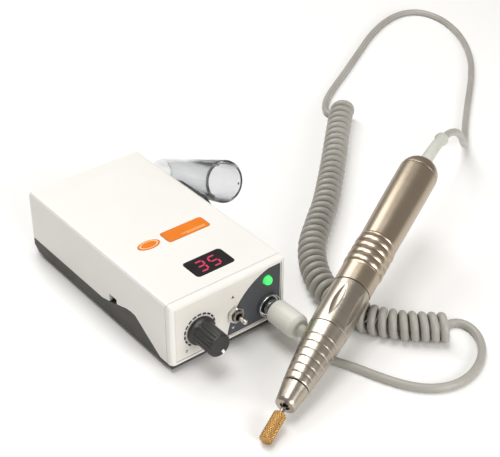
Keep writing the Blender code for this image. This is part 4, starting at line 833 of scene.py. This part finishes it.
def join_shapes(piece, tools, operation):
    """Fuse shapes to a piece, or cut them out of it, and keep only the result."""
    for tool in tools:
        boolean = piece.modifiers.new(operation, "BOOLEAN")
        boolean.operation = operation
        boolean.solver = "EXACT"
        boolean.object = tool
        bpy.context.view_layer.update()
        evaluated = piece.evaluated_get(bpy.context.evaluated_depsgraph_get())
        shaped = bpy.data.meshes.new_from_object(evaluated)
        piece.modifiers.clear()
        piece.data = shaped
        bpy.data.objects.remove(tool)
    piece.data.shade_smooth()
    piece.data.set_sharp_from_angle(angle=math.radians(32))


holder_place = axis_place(mouth, slope_way)
outer_tube = softened([(0, 0), (HOLDER_R[0], 0), (HOLDER_R[1], HOLDER_L), (0, HOLDER_L)], 0.6)
clear_holder = mesh_piece("clear_side_holder", lathe(outer_tube, 96), holder_place)
# outlines in (y, z), with the thickness along x
SIDEWAYS = Matrix(((0, 0, 1, 0), (1, 0, 0, 0), (0, 1, 0, 0), (0, 0, 0, 1)))
plate_x = case_side + PLATE_OFF
web_from, web_to = (MOUTH_Z - math.tan(HOLDER_SLOPE) * (y - MOUTH_Y) for y in WEB_SPAN)
web_outline = [(WEB_SPAN[0], web_from - 6.6), (WEB_SPAN[0], web_from - 3.4),
               (WEB_SPAN[1], web_to + 1.6), (WEB_SPAN[1], web_to - 1.6)]
side_parts = []
for name, outline, near_x, far_x in (
        ("holder_plate", PLATE_OUTLINE, plate_x, plate_x + PLATE_T),
        ("holder_web", web_outline, plate_x + PLATE_T / 2, case_side + TUBE_OFF),
        ("holder_peg", PEG_OUTLINE, case_side - PEG_REACH, plate_x + PLATE_T / 2)):
    part_bm = bmesh.new()
    slab(part_bm, outline, near_x, far_x)
    side_parts.append(mesh_piece(name, part_bm, Matrix.Translation(CASE_MIDDLE) @ SIDEWAYS))
join_shapes(clear_holder, side_parts, "UNION")
bore_from, bore_to = (radius - HOLDER_WALL for radius in HOLDER_R)
bore = lathe([(0, -4), (bore_from, -4), (bore_from, 0), (bore_to, HOLDER_L), (bore_to, HOLDER_L + 4),
              (0, HOLDER_L + 4)], 96)
join_shapes(clear_holder, [mesh_piece("holder_bore", bore, holder_place)], "DIFFERENCE")
inner_ribs = []
for angle in (25, 145, 265):
    rib_bm = bmesh.new()
    slab(rib_bm, INNER_RIB, *INNER_RIB_SPAN)
    inner_ribs.append(mesh_piece(f"holder_rib_{angle}", rib_bm,
                                 holder_place @ Matrix.Rotation(math.radians(angle), 4, "Z")))
join_shapes(clear_holder, inner_ribs, "UNION")
# the mesh is turned into the room's axes, so that its bounding box is the true one
clear_holder.data.transform(holder_place)
clear_holder.matrix_world = Matrix()
clear = surface("clear_polycarbonate", moulded, 0,
    colour=(0.88, 0.895, 0.91), shade=(0.82, 0.84, 0.86), clouds=40, grain=900,
    dull=0.10, sheen=0.03, shader={"Transmission Weight": 0.96, "IOR": 1.49})
fit_out(clear_holder, "holder", "clear_plastic", clear, "handpiece_holder")


# ------------------------------ handpiece shell
# Five turned aluminium pieces, bead-blasted and anodised in a pale champagne: nose cap,
# grooved grip cone, fluted chuck sleeve, ribbed rear shell and a domed end cap.
hand_place = axis_place(NOSE, ALONG)
NOSE_L = 11.4
CONE_END = 45.7
SLEEVE_END = 73.8
SHELL_END = 161.0
JOINT_GAP = 0.3
NOSE_R, CONE_R, GRIP_R, BODY_R, REAR_R = 5.0, 6.7, 9.9, 10.0, 10.75
CONE_GROOVES = [15.5 + 4.42 * i for i in range(6)]
GROOVE_HALF_W, GROOVE_DEPTH = 0.28, 0.30
CONE_STEP = 1.1
SLEEVE_CROWN = 0.22
SLEEVE_STEPS = 56
SLEEVE_FLUTES = 6
FLUTE_FROM, FLUTE_TO = 49.5, 70.5
SCOOP_DEPTH = 1.1
RIBS_FROM, RIB_PITCH, RIB_COUNT, RIB_H = 87.0, 4.6, 4, 0.55
RIB_ROOT = 0.12                       # how far the valleys between the ribs lie under the body
BOOT_HOLE_R = 3.8


def cone_r(at):
    """Outer radius of the handpiece in front of its sleeve."""
    if at < NOSE_L:
        return NOSE_R + (CONE_R - NOSE_R) * at / NOSE_L
    return CONE_R + (GRIP_R - CONE_R) * ((at - NOSE_L) / (CONE_END - NOSE_L)) ** 0.85


def ring_edge(points, inner, soft=0.25):
    """Close an outer line into a ring with an inner radius, with small chamfers at both ends."""
    (first_r, start), (last_r, end) = points[0], points[-1]
    return ([(inner, start), (first_r - soft, start), (first_r, start + soft)] + points[1:-1]
            + [(last_r, end - soft), (last_r - soft, end), (inner, end), (inner, start)])


# Turned metal: fine tool rings round the axis, a cloudy blasted sheen and a slight change of tint.
turned, enters, leaves = shader_group("turned_metal", [
    ("Colour", "Color", (0.6, 0.5, 0.4, 1)), ("Shade", "Color", (0.5, 0.42, 0.33, 1)),
    ("Clouds", "Float", 60.0), ("Rings", "Float", 2600.0),
    ("Dull", "Float", 0.4), ("Sheen", "Float", 0.28)],
    [("Colour", "Color"), ("Roughness", "Float"), ("Height", "Float")])
where = put(turned, "TexCoord")
spread = put(turned, "Mapping", {"Vector": where.outputs["Object"], "Scale": (0.05, 0.05, 1.0)})
rings = put(turned, "TexNoise", {"Vector": spread.outputs[0], "Scale": enters.outputs["Rings"],
                                 "Detail": 3.0})
clouds = put(turned, "TexNoise", {"Vector": where.outputs["Object"], "Scale": enters.outputs["Clouds"],
                                  "Detail": 4.0})
blast = put(turned, "TexNoise", {"Vector": where.outputs["Object"], "Scale": 5200.0, "Detail": 2.0})
ring_sheen = put(turned, "MapRange", {"Value": rings.outputs[0], "From Min": 0.3, "From Max": 0.7,
                                      "To Min": enters.outputs["Sheen"], "To Max": enters.outputs["Dull"]})
relief = put(turned, "Math", {0: rings.outputs[0], 1: blast.outputs[0]}, operation="ADD")
turned.links.new(mix_colour(turned, clouds.outputs[0], enters.outputs["Colour"], enters.outputs["Shade"]),
                 leaves.inputs["Colour"])
turned.links.new(ring_sheen.outputs[0], leaves.inputs["Roughness"])
turned.links.new(relief.outputs[0], leaves.inputs["Height"])
champagne = surface("champagne_anodised", turned, 0.002,
    colour=(0.50, 0.42, 0.325), shade=(0.45, 0.375, 0.285), clouds=30, rings=900,
    dull=0.34, sheen=0.28, shader={"Metallic": 1.0})
pale_champagne = surface("pale_champagne_anodised", turned, 0.002,
    colour=(0.49, 0.435, 0.365), shade=(0.44, 0.39, 0.325), clouds=30, rings=900,
    dull=0.34, sheen=0.27, shader={"Metallic": 1.0})

nose_line = [(cone_r(at), at) for at in (0.0, 2.0, 5.0, 8.0, NOSE_L - 0.05)]
nose_ring = ring_edge(nose_line, 2.5, 0.4)
nose = mesh_piece("turned_nose_cap", lathe(nose_ring, 128), hand_place, sharp=40.0)
fit_out(nose, "base", "champagne_metal", pale_champagne, "nose_cap")

GROOVE_SHAPE = ((-GROOVE_HALF_W - 0.12, 0), (-GROOVE_HALF_W, 0.12), (-0.1, 1),
                (0.1, 1), (GROOVE_HALF_W, 0.12), (GROOVE_HALF_W + 0.12, 0))
cone_line = [(cone_r(NOSE_L + JOINT_GAP), NOSE_L + JOINT_GAP)]
at = NOSE_L + 1.2
for groove in CONE_GROOVES:
    while at < groove - GROOVE_HALF_W - 0.3:
        cone_line.append((cone_r(at), at))
        at += CONE_STEP
    for offset, deep in GROOVE_SHAPE:
        cone_line.append((cone_r(groove + offset) - GROOVE_DEPTH * deep, groove + offset))
    at = groove + GROOVE_HALF_W + 0.9
while at < CONE_END:
    cone_line.append((cone_r(at), at))
    at += CONE_STEP
cone_line.append((cone_r(CONE_END), CONE_END))
cone = mesh_piece("grooved_grip_cone", lathe(ring_edge(cone_line, 5.2, 0.15), 160), hand_place,
                  sharp=40.0)
fit_out(cone, "base", "champagne_metal", pale_champagne, "grip_cone")


def lens_flutes(radius, height, angle):
    """Long pointed scoops round the chuck sleeve, deepest at the middle of their length."""
    if radius < GRIP_R - 0.1 or not FLUTE_FROM < height < FLUTE_TO:
        return radius
    share = (height - FLUTE_FROM) / (FLUTE_TO - FLUTE_FROM)
    half = math.radians(13.0) * math.sin(math.pi * share) ** 0.8
    pitch = 2 * math.pi / SLEEVE_FLUTES
    off = angle % pitch - pitch / 2
    if abs(off) >= half or half < 1e-4:
        return radius
    return radius - SCOOP_DEPTH * math.sin(math.pi * share) * (1 - (off / half) ** 2)


sleeve_from = CONE_END + JOINT_GAP
sleeve_line = [(GRIP_R + SLEEVE_CROWN * math.sin(math.pi * i / SLEEVE_STEPS),
                sleeve_from + (SLEEVE_END - sleeve_from) * i / SLEEVE_STEPS)
               for i in range(SLEEVE_STEPS + 1)]
sleeve = mesh_piece("fluted_chuck_sleeve", lathe(ring_edge(sleeve_line, 8.6), 300, lens_flutes),
                    hand_place, sharp=24.0)
fit_out(sleeve, "lock_sleeve", "champagne_metal", pale_champagne, "twist_sleeve")

ribs_to = RIBS_FROM + RIB_COUNT * RIB_PITCH
swell_from, swell_to = ribs_to + 2.0, SHELL_END - JOINT_GAP
shell_line = [(BODY_R, SLEEVE_END + JOINT_GAP), (BODY_R, 80.0), (BODY_R, RIBS_FROM - 1.6)]
shell_line += [(BODY_R + 0.14 * math.sin(math.pi * i / 6), RIBS_FROM - 1.4 + 1.2 * i / 6)
               for i in range(7)]
for rib in range(RIB_COUNT):
    start = RIBS_FROM + rib * RIB_PITCH
    shell_line += [(BODY_R - RIB_ROOT + (RIB_H + RIB_ROOT) * math.sin(math.pi * i / 12) ** 0.7,
                    start + RIB_PITCH * i / 12) for i in range(12)]
shell_line += [(BODY_R - RIB_ROOT, ribs_to)]
shell_line += [(BODY_R + 0.2 * math.sin(math.pi * i / 6), ribs_to + 0.2 + 1.3 * i / 6) for i in range(7)]
shell_line += [(BODY_R + (REAR_R - BODY_R) * math.sin(math.pi / 2 * i / 12),
                swell_from + (swell_to - swell_from) * i / 12) for i in range(13)]
shell = mesh_piece("ribbed_rear_shell", lathe(ring_edge(shell_line, 8.7, 0.12), 160), hand_place,
                   sharp=40.0)
fit_out(shell, "base", "champagne_metal", champagne, "rear_shell")

dome_from = SHELL_END + 0.4
dome_flat_r = BOOT_HOLE_R + 0.1
dome_line = [(BOOT_HOLE_R, SHELL_END), (REAR_R - 0.12, SHELL_END), (REAR_R, SHELL_END + 0.12)]
dome_line += [(dome_flat_r + (REAR_R - dome_flat_r) * math.cos(a),
               dome_from + (HAND_LENGTH - dome_from) * math.sin(a))
              for a in (math.radians(6 * i) for i in range(16))]
dome_line += [(BOOT_HOLE_R, SHELL_END)]
dome = mesh_piece("domed_end_cap", lathe(dome_line, 160), hand_place, sharp=50.0)
fit_out(dome, "base", "champagne_metal", champagne, "rear_cap")


# ------------------------------ burr
# A barrel burr of carbide with a gold titanium-nitride coat. Two sets of spiral flutes cross
# and leave small pyramid teeth. It is brazed on a ground steel shank.
BURR_FROM, BURR_TO, BURR_R = -20.0, -4.6, 3.2
TEETH_ROUND = 16
TOOTH_DEPTH = 0.42
FLUTE_TWIST = 0.75                    # how fast the spiral flutes turn as they climb
SHANK_R = 1.175
SHANK_END = 26.0


def cross_cut(radius, height, angle):
    """The burr's radius with its two sets of spiral flutes."""
    if radius < BURR_R - 0.3 or not BURR_FROM + 0.5 < height < BURR_TO - 0.4:
        return radius
    twist = height / BURR_R * FLUTE_TWIST
    one = abs(math.sin((angle + twist) * TEETH_ROUND / 2))
    two = abs(math.sin((angle - twist) * TEETH_ROUND / 2))
    return radius - TOOTH_DEPTH * (1 - min(one, two) ** 0.6)


burr_line = [(0, BURR_FROM), (1.2, BURR_FROM), (2.5, BURR_FROM), (2.9, BURR_FROM + 0.1),
             (3.12, BURR_FROM + 0.35)]
burr_line += [(BURR_R, BURR_FROM + 0.6 + (BURR_TO - BURR_FROM - 1.1) * i / 90) for i in range(91)]
burr_line += [(3.1, BURR_TO - 0.25), (2.7, BURR_TO), (1.5, BURR_TO), (0, BURR_TO)]
burr = mesh_piece("cross_cut_burr", lathe(burr_line, 192, cross_cut), hand_place, sharp=70.0)
gold = surface("gold_nitride", turned, 0.02,
    colour=(0.60, 0.36, 0.13), shade=(0.34, 0.185, 0.06), clouds=700, rings=3000,
    dull=0.42, sheen=0.26, shader={"Metallic": 1.0})
fit_out(burr, "spindle_group", "brass_gold", gold, "burr_head")
shank_line = softened([(0, BURR_TO - 0.2), (1.6, BURR_TO - 0.2), (SHANK_R, BURR_TO + 1.0),
                       (SHANK_R, SHANK_END), (0, SHANK_END)], 0.4)
shank = mesh_piece("ground_burr_shank", lathe(shank_line, 48), hand_place, sharp=40.0)
ground_steel = surface("ground_steel", turned, 0.01,
    colour=(0.34, 0.33, 0.31), shade=(0.26, 0.25, 0.24), clouds=200, rings=5000,
    dull=0.34, sheen=0.18, shader={"Metallic": 1.0})
fit_out(shank, "spindle_group", "steel", ground_steel, "burr_shank")
keep_nodes(ground_steel, "collet", "spindle")


# ------------------------------ inside pieces
# Bearings, coupling and a wound motor are pushed into the handpiece. The case holds a glass-fibre
# driver board with two capacitors and a finned heat sink, and a small board with the display.
keep_nodes(nickel, "front_bearing", "rear_bearing")
keep_nodes(switch_black, "drive_coupling")
keep_nodes(bright_steel, "motor_can")
enamel = surface("enamelled_copper", turned, 0.08,
    colour=(0.60, 0.26, 0.12), shade=(0.46, 0.18, 0.08), clouds=300, rings=2500,
    dull=0.42, sheen=0.3, shader={"Metallic": 1.0})
keep_nodes(enamel, "motor_windings", "motor_rotor")
board_green = surface("solder_mask", moulded, 0.05,
    colour=(0.025, 0.16, 0.06), shade=(0.05, 0.24, 0.10), clouds=260, grain=1200,
    dull=0.5, sheen=0.3)
keep_nodes(board_green, "main_board", "display_board")
can_sleeve = surface("capacitor_sleeve", moulded, 0.02,
    colour=(0.03, 0.035, 0.06), shade=(0.05, 0.055, 0.085), clouds=150, grain=1800,
    dull=0.4, sheen=0.25)
keep_nodes(can_sleeve, "capacitor_1", "capacitor_2")
cast_fins = surface("extruded_aluminium", moulded, 0.03,
    colour=(0.66, 0.66, 0.66), shade=(0.54, 0.54, 0.55), clouds=120, grain=2400,
    dull=0.5, sheen=0.34, shader={"Metallic": 1.0})
keep_nodes(cast_fins, "heat_sink")
module_red = surface("display_module_red", moulded, 0.02,
    colour=(0.10, 0.02, 0.02), shade=(0.06, 0.015, 0.015), clouds=180, grain=1600,
    dull=0.5, sheen=0.35)
keep_nodes(module_red, "display_module")
